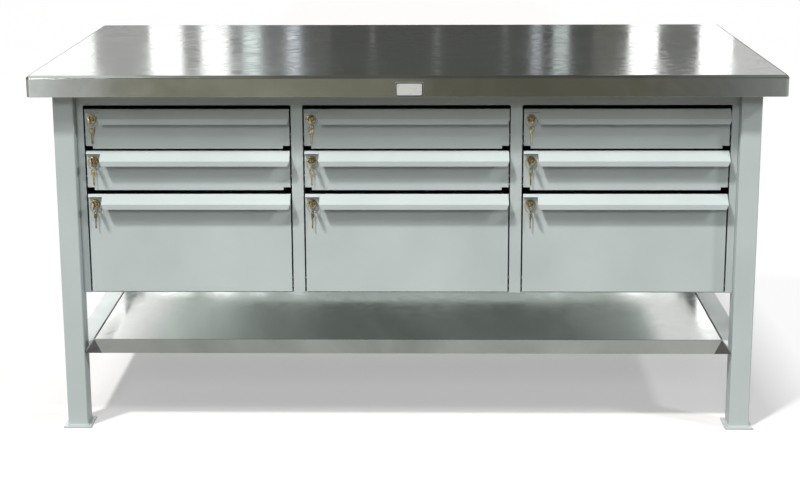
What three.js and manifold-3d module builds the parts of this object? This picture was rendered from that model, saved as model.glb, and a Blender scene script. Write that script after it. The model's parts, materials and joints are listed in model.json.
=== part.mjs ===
// Industrial workbench with nine lockable drawers, a stainless top and a stainless shelf.
// Millimetres, +Z up, origin on the floor under the middle of the bench, front towards -Y.

import * as THREE from 'three';
import { mergeVertices } from 'three/addons/utils/BufferGeometryUtils.js';
import Module from 'manifold-3d';

const wasm = await Module();
wasm.setup();

// Fits
const SEAT = 0.3;
const RUN_CLEARANCE = 0.3;
const WELD = 0.5;

// Bench top
const TOP_WIDTH = 1828.8;
const TOP_DEPTH = 914.4;
const BENCH_HEIGHT = 914.4;
const TOP_EDGE = 52;
const TOP_SHEET = 2.5;
const TOP_CORNER_RADIUS = 12;
const TOP_EDGE_RADIUS = 10;
const TOP_OVERHANG = 50.8;

// Name plate on the front flange
const PLATE_WIDTH = 67;
const PLATE_HEIGHT = 35;
const PLATE_THICKNESS = 1.2;
const PLATE_OFFSET = 8;
const PLATE_DROP = 33;

// Legs and feet
const LEG_SIZE = 50.8;
const LEG_WALL = 3.2;
const LEG_RADIUS = 4;
const FOOT_MARGIN = 9.5;
const FOOT_THICKNESS = 4.8;

// Tubes that tie the legs under the top
const APRON_HEIGHT = 63.5;
const APRON_THICKNESS = 25.4;
const APRON_WALL = 2.5;

// Drawer cabinet
const FACE_RECESS = 25.4;
const FACE_THICKNESS = 3;
const CABINET_REAR_SPACE = 76.2;
const CABINET_SHEET = 2;
const TOP_RAIL = 33.5;
const END_STILE = 17.5;
const MIDDLE_STILE = 28.6;
const OPENING_RADIUS = 4;
const BANKS = 3;

// Drawer fronts, from the top row down
const SHALLOW_FRONT = 99.5;
const DEEP_FRONT = 252;
const GAP_OVER_ROWS = [9.5, 5.5, 10];
const GAP_UNDER_ROWS = 3;
const FRONT_SIDE_GAP = 3.8;
const FRONT_SHEET = 2.5;
const NOTCH_WIDTH = 17;
const NOTCH_HEIGHT = 7;

// Drawer trays
const TRAY_REAR_SPACE = 60.4;
const TRAY_SHEET = 1.5;
const TRAY_FLOOR_LIFT = 9;
const TRAY_RIM_DROP = 10;

// Drawer runners: a bar on each tray side between two lips on the cabinet
const BAR_WIDTH = 9.7;
const BAR_HEIGHT = 19.4;
const BAR_LIFT = 14;
const LIP_THICKNESS = 2;
const RUNNER_SETBACK = 6;
const RUNNER_REAR_SPACE = 34.4;

// Formed pull along the top of each front
const PULL_OUT = 24;
const PULL_DROP = 21;
const PULL_LIP = 13;
const PULL_SHEET = 2;
const PULL_CORNER = 5;
const HEM_OUT = 7;

// Locks
const PLUG_RADIUS = 5;
const BARREL_WALL = 1.7;
const BARREL_LENGTH = 20;
const BEZEL_RADIUS = 10.5;
const BEZEL_DEPTH = 5;
const BEZEL_ROUND = 1.2;
const NECK_LENGTH = 3;
const LOCK_WALL_GAP = 0.8;
const LOCK_HEM_GAP = 4;
const LOCK_BAY_GAP = 7.5;
const CAM_WIDTH = 10;
const CAM_THICKNESS = 2;
const CAM_STILE_GAP = 3.8;
const CAM_SLOT_GAP = 1.2;
const ROUND_SIDES = 16;

// Keys
const KEY_THICKNESS = 2.2;
const KEY_SHANK = 8;
const KEY_SHANK_HEIGHT = 8;
const KEY_BOW_RADIUS = 11;
const KEY_HOLE_RADIUS = 3;
const KEY_HOLE_EDGE = 2.5;
const PLUG_PROUD = 0.6;

// Spare key on a ring round the lock's neck
const RING_INNER_RADIUS = 13.5;
const RING_WIRE = 1.6;
const SPARE_THICKNESS = 1.6;
const SPARE_BOW_WIDTH = 13;
const SPARE_BOW_HEIGHT = 21;
const SPARE_BLADE_WIDTH = 5;
const SPARE_BLADE_LENGTH = 26;
const SPARE_TOOTH = 1.4;
const SPARE_TEETH = 4;

// Lower shelf and its rails
const SHELF_CLEARANCE = 114.2;
const SHELF_SHEET = 2.5;
const SHELF_FLANGE = 37.5;
const SHELF_TAPER = 20;
const SHELF_END_GAP = 22.8;
const CORNER_RELIEF = 6;
const TAB_ROOT = 25;
const TAB_FOOT = 6;
const TAB_SETBACK = 2;
const TAB_THICKNESS = 5;
const RAIL_WIDTH = 88.9;
const RAIL_HEIGHT = 50.8;
const RAIL_WALL = 4.8;

// Levels and planes that several pieces share
const underTop = BENCH_HEIGHT - TOP_EDGE;
const frameTop = underTop - SEAT;
const legOuterX = TOP_WIDTH / 2 - TOP_OVERHANG;
const legOuterY = TOP_DEPTH / 2 - TOP_OVERHANG;
const legInnerX = legOuterX - LEG_SIZE;
const legInnerY = legOuterY - LEG_SIZE;
const faceY = -legOuterY + FACE_RECESS;
const cabinetHalf = legInnerX - SEAT;
const cabinetBackY = legInnerY - CABINET_REAR_SPACE;
const openingTop = frameTop - TOP_RAIL;
const openingWidth = (2 * cabinetHalf - 2 * END_STILE - (BANKS - 1) * MIDDLE_STILE) / BANKS;
const bankPitch = openingWidth + MIDDLE_STILE;
const rowHeights = [SHALLOW_FRONT, SHALLOW_FRONT, DEEP_FRONT];
const rowBottoms = stackRows();
const cabinetBottom = rowBottoms[rowBottoms.length - 1] - GAP_UNDER_ROWS;
const shelfTop = cabinetBottom - SHELF_CLEARANCE;
const shelfHalf = legInnerX - SHELF_END_GAP;

// Sizes inside one drawer, measured from the middle of the front's lower edge
const frontWidth = openingWidth - 2 * FRONT_SIDE_GAP;
const trayDepth = cabinetBackY - faceY - TRAY_REAR_SPACE;
const trayHalf = openingWidth / 2 - BAR_WIDTH - 2 * RUN_CLEARANCE - LIP_THICKNESS;
const barHalf = openingWidth / 2 - RUN_CLEARANCE;
const barrelRadius = PLUG_RADIUS + RUN_CLEARANCE + BARREL_WALL;
const hemDrop = PULL_DROP * HEM_OUT / PULL_OUT + pullSheetDrop();
const lockX = -trayHalf + TRAY_SHEET + LOCK_WALL_GAP + barrelRadius;
const lockDrop = hemDrop + LOCK_HEM_GAP + BEZEL_RADIUS;
const pullStartX = lockX + BEZEL_RADIUS + LOCK_BAY_GAP;
const camReach = lockX + openingWidth / 2 - CAM_STILE_GAP;
const camY = BARREL_LENGTH + RUN_CLEARANCE;

// Materials
const stainless = finish(0xa9aba4, 0.28, 1);
const paint = finish(0xaab4b2, 0.55, 0.1);
const brass = finish(0xb89a52, 0.35, 1);
const nickel = finish(0xb9b6aa, 0.35, 1);
const enamel = finish(0xe6e6e2, 0.5, 0);
const board = finish(0x8d7a5f, 0.8, 0);

function finish(color, roughness, metalness) {
  return new THREE.MeshStandardMaterial({ color, roughness, metalness });
}

// Height of the pull's sheet measured straight down through its slope
function pullSheetDrop() {
  return PULL_SHEET * Math.hypot(1, PULL_DROP / PULL_OUT);
}

function stackRows() {
  const bottoms = [];
  let level = openingTop;
  rowHeights.forEach((height, row) => {
    level -= GAP_OVER_ROWS[row] + height;
    bottoms.push(level);
  });
  return bottoms;
}

// Turns a closed three.js geometry into a solid that can be joined and cut
function solid(geometry) {
  const bare = geometry.clone();
  bare.deleteAttribute('normal');
  bare.deleteAttribute('uv');
  const merged = mergeVertices(bare, 1e-4);
  const vertProperties = new Float32Array(merged.attributes.position.array);
  const triVerts = new Uint32Array(merged.index.array);
  return new wasm.Manifold(new wasm.Mesh({ numProp: 3, vertProperties, triVerts }));
}

function toGeometry(body) {
  const mesh = body.getMesh();
  const geometry = new THREE.BufferGeometry();
  geometry.setAttribute('position', new THREE.BufferAttribute(mesh.vertProperties, 3));
  geometry.setIndex(new THREE.BufferAttribute(mesh.triVerts, 1));
  geometry.computeVertexNormals();
  return geometry;
}

function join(pieces) {
  return pieces.reduce((whole, piece) => whole.add(piece));
}

// Box between two corners
function block(low, high) {
  const size = high.map((value, axis) => value - low[axis]);
  const middle = high.map((value, axis) => (value + low[axis]) / 2);
  return new THREE.BoxGeometry(...size).translate(...middle);
}

function outline(points) {
  return new THREE.Shape(points.map(([u, v]) => new THREE.Vector2(u, v)));
}

function roundedRectangle(width, depth, radius) {
  const shape = new THREE.Shape();
  const x = width / 2;
  const y = depth / 2;
  shape.moveTo(-x + radius, -y);
  shape.lineTo(x - radius, -y);
  shape.absarc(x - radius, -y + radius, radius, -Math.PI / 2, 0);
  shape.lineTo(x, y - radius);
  shape.absarc(x - radius, y - radius, radius, 0, Math.PI / 2);
  shape.lineTo(-x + radius, y);
  shape.absarc(-x + radius, y - radius, radius, Math.PI / 2, Math.PI);
  shape.lineTo(-x, -y + radius);
  shape.absarc(-x + radius, -y + radius, radius, Math.PI, 1.5 * Math.PI);
  return shape;
}

function extrude(shape, depth, curveSegments = 4) {
  return new THREE.ExtrudeGeometry(shape, { depth, bevelEnabled: false, curveSegments });
}

// Profile in the YZ plane, drawn out along X
function alongX(shape, fromX, toX) {
  const basis = new THREE.Matrix4().makeBasis(
    new THREE.Vector3(0, 1, 0),
    new THREE.Vector3(0, 0, 1),
    new THREE.Vector3(1, 0, 0),
  );
  return extrude(shape, toX - fromX).applyMatrix4(basis).translate(fromX, 0, 0);
}

// Profile in the XZ plane, drawn out along Y
function alongY(shape, fromY, toY, curveSegments = 4) {
  const basis = new THREE.Matrix4().makeBasis(
    new THREE.Vector3(1, 0, 0),
    new THREE.Vector3(0, 0, 1),
    new THREE.Vector3(0, -1, 0),
  );
  return extrude(shape, toY - fromY, curveSegments).applyMatrix4(basis).translate(0, toY, 0);
}

// Square-cornered tube section with a bore
function tubeSection(width, height, wall) {
  const shape = roundedRectangle(width, height, wall);
  const bore = roundedRectangle(width - 2 * wall, height - 2 * wall, wall / 4);
  shape.holes.push(new THREE.Path(bore.getPoints(1).reverse()));
  return shape;
}

// Round piece turned about the Y axis; the profile lists radius and Y
function turned(profile) {
  const points = profile.map(([radius, y]) => new THREE.Vector2(radius, y));
  return new THREE.LatheGeometry(points, ROUND_SIDES);
}

function part(parent, name, geometry, material) {
  const mesh = new THREE.Mesh(geometry, material);
  mesh.name = name;
  parent.add(mesh);
  return mesh;
}

// Slab with rounded upright corners and a rounded upper edge, from its top downwards
function roundedSlab(inset, top, bottom) {
  const corner = TOP_CORNER_RADIUS - inset;
  const edge = TOP_EDGE_RADIUS - inset;
  const width = TOP_WIDTH - 2 * inset;
  const depth = TOP_DEPTH - 2 * inset;
  const height = top - bottom;
  const shape = roundedRectangle(width - 2 * edge, depth - 2 * edge, corner - edge);
  const blank = new THREE.ExtrudeGeometry(shape, {
    depth: height,
    bevelThickness: edge,
    bevelSize: edge,
    bevelSegments: 4,
    curveSegments: 4,
  }).translate(0, 0, bottom - edge);
  const reach = [TOP_WIDTH, TOP_DEPTH];
  const below = block([-reach[0], -reach[1], bottom - 2 * edge], [reach[0], reach[1], bottom]);
  return solid(blank).subtract(solid(below));
}

function benchTop(bench) {
  const shell = roundedSlab(0, BENCH_HEIGHT, underTop);
  const pocket = roundedSlab(TOP_SHEET, BENCH_HEIGHT - TOP_SHEET, underTop - TOP_SHEET);
  part(bench, 'bench_top', toGeometry(shell.subtract(pocket)), stainless);

  const coreInset = TOP_SHEET + SEAT;
  const core = roundedSlab(coreInset, BENCH_HEIGHT - coreInset, underTop);
  part(bench, 'top_core', toGeometry(core), board);

  const plate = new THREE.BoxGeometry(PLATE_WIDTH, PLATE_THICKNESS, PLATE_HEIGHT);
  const plateY = -TOP_DEPTH / 2 - SEAT - PLATE_THICKNESS / 2;
  const mesh = part(bench, 'name_plate', plate, enamel);
  mesh.position.set(PLATE_OFFSET, plateY, BENCH_HEIGHT - PLATE_DROP);
}

// Square tubes, each standing on a foot plate that is welded to it
function legs(bench) {
  const section = roundedRectangle(LEG_SIZE, LEG_SIZE, LEG_RADIUS);
  const boreSize = LEG_SIZE - 2 * LEG_WALL;
  const boreRadius = Math.max(LEG_RADIUS - LEG_WALL, LEG_WALL / 4);
  const bore = roundedRectangle(boreSize, boreSize, boreRadius);
  section.holes.push(new THREE.Path(bore.getPoints(2).reverse()));
  const tubeBottom = FOOT_THICKNESS - WELD;
  const tube = extrude(section, frameTop - tubeBottom, 3).translate(0, 0, tubeBottom);
  const footHalf = LEG_SIZE / 2 + FOOT_MARGIN;
  const foot = block([-footHalf, -footHalf, 0], [footHalf, footHalf, FOOT_THICKNESS]);
  const leg = toGeometry(join([solid(tube), solid(foot)]));
  for (const [depthName, ySign] of [['front', -1], ['rear', 1]]) {
    for (const [sideName, xSign] of [['left', -1], ['right', 1]]) {
      const mesh = part(bench, `leg_${depthName}_${sideName}`, leg, paint);
      mesh.position.set(xSign * (legOuterX - LEG_SIZE / 2), ySign * (legOuterY - LEG_SIZE / 2), 0);
    }
  }
}

function aprons(bench) {
  const section = tubeSection(APRON_THICKNESS, APRON_HEIGHT, APRON_WALL);
  const middleZ = frameTop - APRON_HEIGHT / 2;
  const sideReach = legInnerY - SEAT;
  const sideTube = alongY(section, -sideReach, sideReach);
  const sideX = legOuterX - LEG_SIZE / 2;
  part(bench, 'apron_left', sideTube, paint).position.set(-sideX, 0, middleZ);
  part(bench, 'apron_right', sideTube, paint).position.set(sideX, 0, middleZ);
  const rearTube = alongX(section, -cabinetHalf, cabinetHalf);
  part(bench, 'apron_rear', rearTube, paint).position.set(0, legOuterY - LEG_SIZE / 2, middleZ);
}

function bankCentre(bank) {
  return (bank - (BANKS - 1) / 2) * bankPitch;
}

// Top rail with its stiles hanging down like the teeth of a comb
function faceFrame(bench) {
  const shape = new THREE.Shape();
  shape.moveTo(-cabinetHalf, frameTop);
  shape.lineTo(-cabinetHalf, cabinetBottom);
  for (let bank = 0; bank < BANKS; bank += 1) {
    const left = bankCentre(bank) - openingWidth / 2;
    const right = left + openingWidth;
    const bendZ = openingTop - OPENING_RADIUS;
    shape.lineTo(left, cabinetBottom);
    shape.lineTo(left, bendZ);
    shape.absarc(left + OPENING_RADIUS, bendZ, OPENING_RADIUS, Math.PI, Math.PI / 2, true);
    shape.lineTo(right - OPENING_RADIUS, openingTop);
    shape.absarc(right - OPENING_RADIUS, bendZ, OPENING_RADIUS, Math.PI / 2, 0, true);
    shape.lineTo(right, cabinetBottom);
  }
  shape.lineTo(cabinetHalf, cabinetBottom);
  shape.lineTo(cabinetHalf, frameTop);
  part(bench, 'face_frame', alongY(shape, faceY, faceY + FACE_THICKNESS), paint);
}

// Pairs of lips for every row, standing out from a wall to carry the drawer bars
function runnerLips(wallX, lipX) {
  const frontY = faceY + RUNNER_SETBACK;
  const lips = [];
  for (const bottom of rowBottoms) {
    const barBottom = bottom + BAR_LIFT;
    const lowerTop = barBottom - RUN_CLEARANCE;
    const upperBottom = barBottom + BAR_HEIGHT + RUN_CLEARANCE;
    const xs = [Math.min(wallX, lipX), Math.max(wallX, lipX)];
    for (const lipBottom of [lowerTop - LIP_THICKNESS, upperBottom]) {
      const low = [xs[0], frontY, lipBottom];
      const high = [xs[1], cabinetBackY - RUNNER_REAR_SPACE, lipBottom + LIP_THICKNESS];
      lips.push(solid(block(low, high)));
    }
  }
  return lips;
}

function cabinet(bench) {
  const frontY = faceY + FACE_THICKNESS + SEAT;
  const innerBackY = cabinetBackY - CABINET_SHEET - SEAT;
  const lipReach = BAR_WIDTH + RUN_CLEARANCE;
  const wallBottom = cabinetBottom + CABINET_SHEET + SEAT;

  for (const [name, sign] of [['left', -1], ['right', 1]]) {
    const outer = sign * cabinetHalf;
    const inner = outer - sign * CABINET_SHEET;
    const xs = [Math.min(outer, inner), Math.max(outer, inner)];
    const panel = solid(block([xs[0], frontY, cabinetBottom], [xs[1], cabinetBackY, frameTop]));
    const lipX = sign * (cabinetHalf - END_STILE - lipReach);
    const wallX = inner + sign * WELD;
    part(bench, `cabinet_side_${name}`, toGeometry(join([panel, ...runnerLips(wallX, lipX)])), paint);
  }

  const inside = MIDDLE_STILE / 2 - CABINET_SHEET;
  const channel = outline([
    [-MIDDLE_STILE / 2, frontY],
    [MIDDLE_STILE / 2, frontY],
    [MIDDLE_STILE / 2, innerBackY],
    [inside, innerBackY],
    [inside, frontY + CABINET_SHEET],
    [-inside, frontY + CABINET_SHEET],
    [-inside, innerBackY],
    [-MIDDLE_STILE / 2, innerBackY],
  ]);
  for (const [name, index] of [['left', 0], ['right', 1]]) {
    const centre = bankCentre(index) + bankPitch / 2;
    const walls = extrude(channel, frameTop - wallBottom).translate(centre, 0, wallBottom);
    const root = MIDDLE_STILE / 2 - WELD;
    const tip = MIDDLE_STILE / 2 + lipReach;
    const lips = [-1, 1].flatMap((sign) => runnerLips(centre + sign * root, centre + sign * tip));
    part(bench, `divider_${name}`, toGeometry(join([solid(walls), ...lips])), paint);
  }

  const panelHalf = cabinetHalf - CABINET_SHEET - SEAT;
  const back = block(
    [-panelHalf, cabinetBackY - CABINET_SHEET, wallBottom],
    [panelHalf, cabinetBackY, frameTop],
  );
  part(bench, 'cabinet_back', back, paint);
  const bottom = block(
    [-panelHalf, frontY, cabinetBottom],
    [panelHalf, cabinetBackY, cabinetBottom + CABINET_SHEET],
  );
  part(bench, 'cabinet_bottom', bottom, paint);
}

// Front sheet with notched lower corners
function frontPanel(height, notched) {
  const x = frontWidth / 2;
  const foot = notched
    ? [[-x, NOTCH_HEIGHT], [-x + NOTCH_WIDTH, NOTCH_HEIGHT], [-x + NOTCH_WIDTH, 0],
      [x - NOTCH_WIDTH, 0], [x - NOTCH_WIDTH, NOTCH_HEIGHT], [x, NOTCH_HEIGHT]]
    : [[-x, 0], [x, 0]];
  return solid(alongY(outline([...foot, [x, height], [-x, height]]), 0, FRONT_SHEET));
}

// Slope along the whole top edge, cut back to a narrow hem over the lock, and a hanging lip
function pullPieces(height) {
  const sheetDrop = pullSheetDrop();
  const slopeAt = (out) => height - PULL_DROP * out / PULL_OUT;
  const slope = (out) => outline([
    [WELD, height],
    [0, height],
    [-out, slopeAt(out)],
    [-out, slopeAt(out) - sheetDrop],
    [0, height - sheetDrop],
    [WELD, height - sheetDrop],
  ]);
  const left = -frontWidth / 2;
  const right = frontWidth / 2;
  const lipTop = slopeAt(PULL_OUT);
  const lipBottom = lipTop - PULL_LIP;
  const lip = outline([
    [pullStartX, lipTop],
    [pullStartX, lipBottom + PULL_CORNER],
    [pullStartX + PULL_CORNER, lipBottom],
    [right - PULL_CORNER, lipBottom],
    [right, lipBottom + PULL_CORNER],
    [right, lipTop],
  ]);
  return [
    solid(alongX(slope(HEM_OUT), left, right)),
    solid(alongX(slope(PULL_OUT), pullStartX, right)),
    solid(alongY(lip, -PULL_OUT, -PULL_OUT + PULL_SHEET)),
  ];
}

// Open tray behind the front, with a bar on each side for the runners
function trayPieces(height, startY) {
  const floor = TRAY_FLOOR_LIFT;
  const rim = height - TRAY_RIM_DROP;
  const wall = trayHalf - TRAY_SHEET;
  const shell = block([-trayHalf, startY, floor], [trayHalf, trayDepth, rim]);
  const pocket = block(
    [-wall, startY - TRAY_SHEET, floor + TRAY_SHEET],
    [wall, trayDepth - TRAY_SHEET, rim + TRAY_SHEET],
  );
  const bars = [-1, 1].map((sign) => {
    const xs = [sign * (trayHalf - WELD), sign * barHalf].sort((a, b) => a - b);
    return solid(block([xs[0], RUNNER_SETBACK, BAR_LIFT], [xs[1], trayDepth, BAR_LIFT + BAR_HEIGHT]));
  });
  return [solid(shell).subtract(solid(pocket)), ...bars];
}

// Hole in the front for the lock's barrel
function lockHole(height) {
  const radius = barrelRadius + RUN_CLEARANCE;
  const end = FRONT_SHEET + WELD;
  const hole = turned([[0, -WELD], [radius, -WELD], [radius, end], [0, end]]);
  return solid(hole.translate(lockX, 0, height - lockDrop));
}

// Slot in the tray's left wall for the lock's cam
function camSlot(height) {
  const lockZ = height - lockDrop;
  const sweep = Math.hypot(camReach, CAM_WIDTH / 2) + CAM_SLOT_GAP;
  return solid(block(
    [-trayHalf - TRAY_SHEET, camY - CAM_SLOT_GAP, lockZ - sweep],
    [-trayHalf + 2 * TRAY_SHEET, camY + CAM_THICKNESS + CAM_SLOT_GAP, lockZ + CAM_WIDTH / 2 + CAM_SLOT_GAP],
  ));
}

function lockGeometry() {
  const bore = PLUG_RADIUS + RUN_CLEARANCE;
  const faceFront = -NECK_LENGTH - BEZEL_DEPTH;
  return turned([
    [bore, faceFront],
    [BEZEL_RADIUS - BEZEL_ROUND, faceFront],
    [BEZEL_RADIUS, faceFront + BEZEL_ROUND],
    [BEZEL_RADIUS, -NECK_LENGTH],
    [barrelRadius, -NECK_LENGTH],
    [barrelRadius, BARREL_LENGTH],
    [bore, BARREL_LENGTH],
    [bore, faceFront],
  ]);
}

// Plug with the key standing in it and the cam on its tail, which hangs down when unlocked
function keyGeometry() {
  const plugFront = -NECK_LENGTH - BEZEL_DEPTH - PLUG_PROUD;
  const plugBack = camY + WELD;
  const plug = turned([[0, plugFront], [PLUG_RADIUS, plugFront], [PLUG_RADIUS, plugBack], [0, plugBack]]);
  const half = CAM_WIDTH / 2;
  const cam = block([-half, camY, -camReach], [half, camY + CAM_THICKNESS, half]);
  const bowY = plugFront - KEY_SHANK - KEY_BOW_RADIUS;
  const thick = KEY_THICKNESS / 2;
  const shank = block(
    [-thick, bowY, -KEY_SHANK_HEIGHT / 2],
    [thick, plugFront + WELD, KEY_SHANK_HEIGHT / 2],
  );
  const disc = new THREE.Shape().absarc(bowY, 0, KEY_BOW_RADIUS, 0, 2 * Math.PI);
  const bow = alongX(disc, -thick, thick);
  const holeY = bowY - KEY_BOW_RADIUS + KEY_HOLE_EDGE + KEY_HOLE_RADIUS;
  const eye = new THREE.Shape().absarc(holeY, 0, KEY_HOLE_RADIUS, 0, 2 * Math.PI);
  const eyeCut = alongX(eye, -KEY_THICKNESS, KEY_THICKNESS);
  return toGeometry(join([plug, cam, shank, bow].map(solid)).subtract(solid(eyeCut)));
}

// Ring that hangs on the lock's neck, and the spare key below it
function spareKeyGeometry() {
  const wire = RING_WIRE / 2;
  const ringZ = barrelRadius + RUN_CLEARANCE - RING_INNER_RADIUS;
  const ring = new THREE.TorusGeometry(RING_INNER_RADIUS + wire, wire, 6, ROUND_SIDES)
    .rotateX(Math.PI / 2)
    .translate(0, 0, ringZ);
  const bowTop = ringZ - RING_INNER_RADIUS;
  const bowMiddle = bowTop - SPARE_BOW_HEIGHT / 2;
  const bladeTop = bowTop - SPARE_BOW_HEIGHT + RING_WIRE;
  const bladeTip = bladeTop - SPARE_BLADE_LENGTH;
  const half = SPARE_BLADE_WIDTH / 2;
  const pitch = SPARE_BLADE_LENGTH / (SPARE_TEETH + 2);
  const teeth = [];
  for (let tooth = 0; tooth < SPARE_TEETH; tooth += 1) {
    const start = bladeTip + (tooth + 1) * pitch;
    teeth.push([half, start], [half - SPARE_TOOTH, start + pitch / 2]);
  }
  const blade = outline([
    [-half, bladeTop],
    [-half, bladeTip + half],
    [0, bladeTip],
    [half, bladeTip + half],
    ...teeth,
    [half, bladeTop],
  ]);
  const bowRadii = [SPARE_BOW_WIDTH / 2, SPARE_BOW_HEIGHT / 2];
  const bow = new THREE.Shape().absellipse(0, bowMiddle, ...bowRadii, 0, 2 * Math.PI);
  const thick = SPARE_THICKNESS / 2;
  const pieces = [ring, alongY(bow, -thick, thick, 8), alongY(blade, -thick, thick)];
  return toGeometry(join(pieces.map(solid))).translate(0, -NECK_LENGTH / 2, 0);
}

// A shallow drawer is welded into one piece; a deep one has its tray set against its front
function drawers(bench) {
  const shallowPieces = [
    frontPanel(SHALLOW_FRONT, true),
    ...pullPieces(SHALLOW_FRONT),
    ...trayPieces(SHALLOW_FRONT, FRONT_SHEET - WELD),
  ];
  const shallow = join(shallowPieces).subtract(lockHole(SHALLOW_FRONT)).subtract(camSlot(SHALLOW_FRONT));
  const deepPieces = [frontPanel(DEEP_FRONT, false), ...pullPieces(DEEP_FRONT)];
  const deep = join(deepPieces).subtract(lockHole(DEEP_FRONT));
  const deepTray = join(trayPieces(DEEP_FRONT, FRONT_SHEET + SEAT)).subtract(camSlot(DEEP_FRONT));
  const fronts = { shallow: toGeometry(shallow), deep: toGeometry(deep) };
  const tray = toGeometry(deepTray);
  const lock = lockGeometry();
  const key = keyGeometry();
  const spare = spareKeyGeometry();
  const rowKinds = ['shallow', 'shallow', 'deep'];
  const rowNames = ['upper', 'middle', 'lower'];
  const bankNames = ['left', 'centre', 'right'];
  bankNames.forEach((bankName, bank) => {
    rowNames.forEach((rowName, row) => {
      const place = `${bankName}_${rowName}`;
      const drawer = new THREE.Group();
      drawer.position.set(bankCentre(bank), faceY, rowBottoms[row]);
      part(drawer, `drawer_${place}`, fronts[rowKinds[row]], paint);
      if (rowKinds[row] === 'deep') {
        part(drawer, `tray_${place}`, tray, paint);
      }
      const lockSite = new THREE.Group();
      lockSite.position.set(lockX, 0, rowHeights[row] - lockDrop);
      part(lockSite, `lock_${place}`, lock, brass);
      part(lockSite, `key_${place}`, key, nickel);
      part(lockSite, `spare_key_${place}`, spare, brass);
      drawer.add(lockSite);
      bench.add(drawer);
    });
  });
}

// Pan with flanges turned down on all sides; tabs at its corners reach out to the legs
function shelf(bench) {
  const flangeBottom = shelfTop - SHELF_FLANGE;
  const underSheet = shelfTop - SHELF_SHEET;
  const sheet = block([-shelfHalf, -legOuterY, underSheet], [shelfHalf, legOuterY, shelfTop]);
  const sideEnd = legOuterY - CORNER_RELIEF;
  const rootZ = underSheet + SHELF_SHEET / 2;
  const pieces = [sheet];
  const flange = outline([
    [-shelfHalf + SHELF_SHEET, rootZ],
    [-shelfHalf + SHELF_TAPER, flangeBottom],
    [shelfHalf - SHELF_TAPER, flangeBottom],
    [shelfHalf - SHELF_SHEET, rootZ],
  ]);
  pieces.push(alongY(flange, -legOuterY, -legOuterY + SHELF_SHEET));
  pieces.push(alongY(flange, legOuterY - SHELF_SHEET, legOuterY));
  const tabEnds = [sideEnd - TAB_SETBACK, sideEnd - TAB_SETBACK - TAB_THICKNESS];
  for (const sign of [-1, 1]) {
    const xs = [sign * shelfHalf, sign * (shelfHalf - SHELF_SHEET)].sort((a, b) => a - b);
    pieces.push(block([xs[0], -sideEnd, flangeBottom], [xs[1], sideEnd, rootZ]));
    const tab = outline([
      [sign * (shelfHalf - TAB_ROOT), flangeBottom + TAB_FOOT],
      [sign * (shelfHalf - SHELF_SHEET / 2), flangeBottom],
      [sign * cabinetHalf, flangeBottom],
      [sign * cabinetHalf, flangeBottom + TAB_FOOT],
      [sign * (shelfHalf - SHELF_SHEET / 2), rootZ],
      [sign * (shelfHalf - TAB_ROOT), rootZ],
    ]);
    pieces.push(alongY(tab, -tabEnds[0], -tabEnds[1]));
    pieces.push(alongY(tab, tabEnds[1], tabEnds[0]));
  }
  part(bench, 'shelf', toGeometry(join(pieces.map(solid))), stainless);

  const railTop = flangeBottom - SEAT;
  const railReach = legInnerY - SEAT;
  for (const [name, sign] of [['left', -1], ['right', 1]]) {
    const outer = sign * legOuterX;
    const web = outer - sign * RAIL_WALL;
    const inner = outer - sign * RAIL_WIDTH;
    const angle = outline([
      [outer, railTop],
      [outer, railTop - RAIL_HEIGHT],
      [web, railTop - RAIL_HEIGHT],
      [web, railTop - RAIL_WALL],
      [inner, railTop - RAIL_WALL],
      [inner, railTop],
    ]);
    part(bench, `shelf_rail_${name}`, alongY(angle, -railReach, railReach), paint);
  }
}

const bench = new THREE.Group();
benchTop(bench);
legs(bench);
aprons(bench);
faceFrame(bench);
cabinet(bench);
drawers(bench);
shelf(bench);

export default bench;
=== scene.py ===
"""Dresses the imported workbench: painted sheet metal, stainless top and shelf, brass locks and keys.

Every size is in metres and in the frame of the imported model: +X to the right, +Y to the back, +Z up.
"""

from __future__ import annotations

import json
import logging
import math
from dataclasses import dataclass, field
from enum import Enum
from typing import Dict, Iterable, List, Sequence, Tuple

import bmesh
import bpy
from mathutils import Matrix, Vector

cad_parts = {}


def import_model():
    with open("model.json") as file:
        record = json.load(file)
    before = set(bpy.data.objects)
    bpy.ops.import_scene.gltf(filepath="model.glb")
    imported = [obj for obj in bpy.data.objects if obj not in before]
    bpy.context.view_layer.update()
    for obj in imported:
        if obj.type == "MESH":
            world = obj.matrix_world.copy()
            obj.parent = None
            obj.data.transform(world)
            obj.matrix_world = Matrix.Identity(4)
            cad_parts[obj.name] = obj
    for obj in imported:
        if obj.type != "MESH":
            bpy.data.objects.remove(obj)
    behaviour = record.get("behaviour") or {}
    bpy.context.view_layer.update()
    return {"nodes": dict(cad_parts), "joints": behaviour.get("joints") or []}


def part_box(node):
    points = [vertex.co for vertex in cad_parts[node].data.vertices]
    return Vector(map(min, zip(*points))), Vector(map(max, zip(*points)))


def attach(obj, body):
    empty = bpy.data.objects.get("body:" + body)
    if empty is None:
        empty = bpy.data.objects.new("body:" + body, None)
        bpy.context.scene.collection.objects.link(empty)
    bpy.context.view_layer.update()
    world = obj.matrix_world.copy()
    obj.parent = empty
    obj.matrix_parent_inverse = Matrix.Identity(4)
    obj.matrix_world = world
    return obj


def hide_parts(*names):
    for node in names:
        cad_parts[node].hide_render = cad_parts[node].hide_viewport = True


LOG = logging.getLogger("workbench")
MM = 0.001

# Longest share of a line's run that a round corner may take
CORNER_SHARE = 0.9

Point = Tuple[float, float]
Place = Tuple[float, float, float]
Reach = Tuple[float, float, float, float]
Tint = Tuple[float, float, float]
Color = Tuple[float, float, float, float]
Tones = Tuple[Tuple[float, Color], ...]
Path = Tuple[Sequence[Vector], bool]
Nodes = Dict[str, bpy.types.Object]
Socket = bpy.types.NodeSocket
Material = bpy.types.Material

FULL: Point = (0.0, 1.0)


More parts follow.
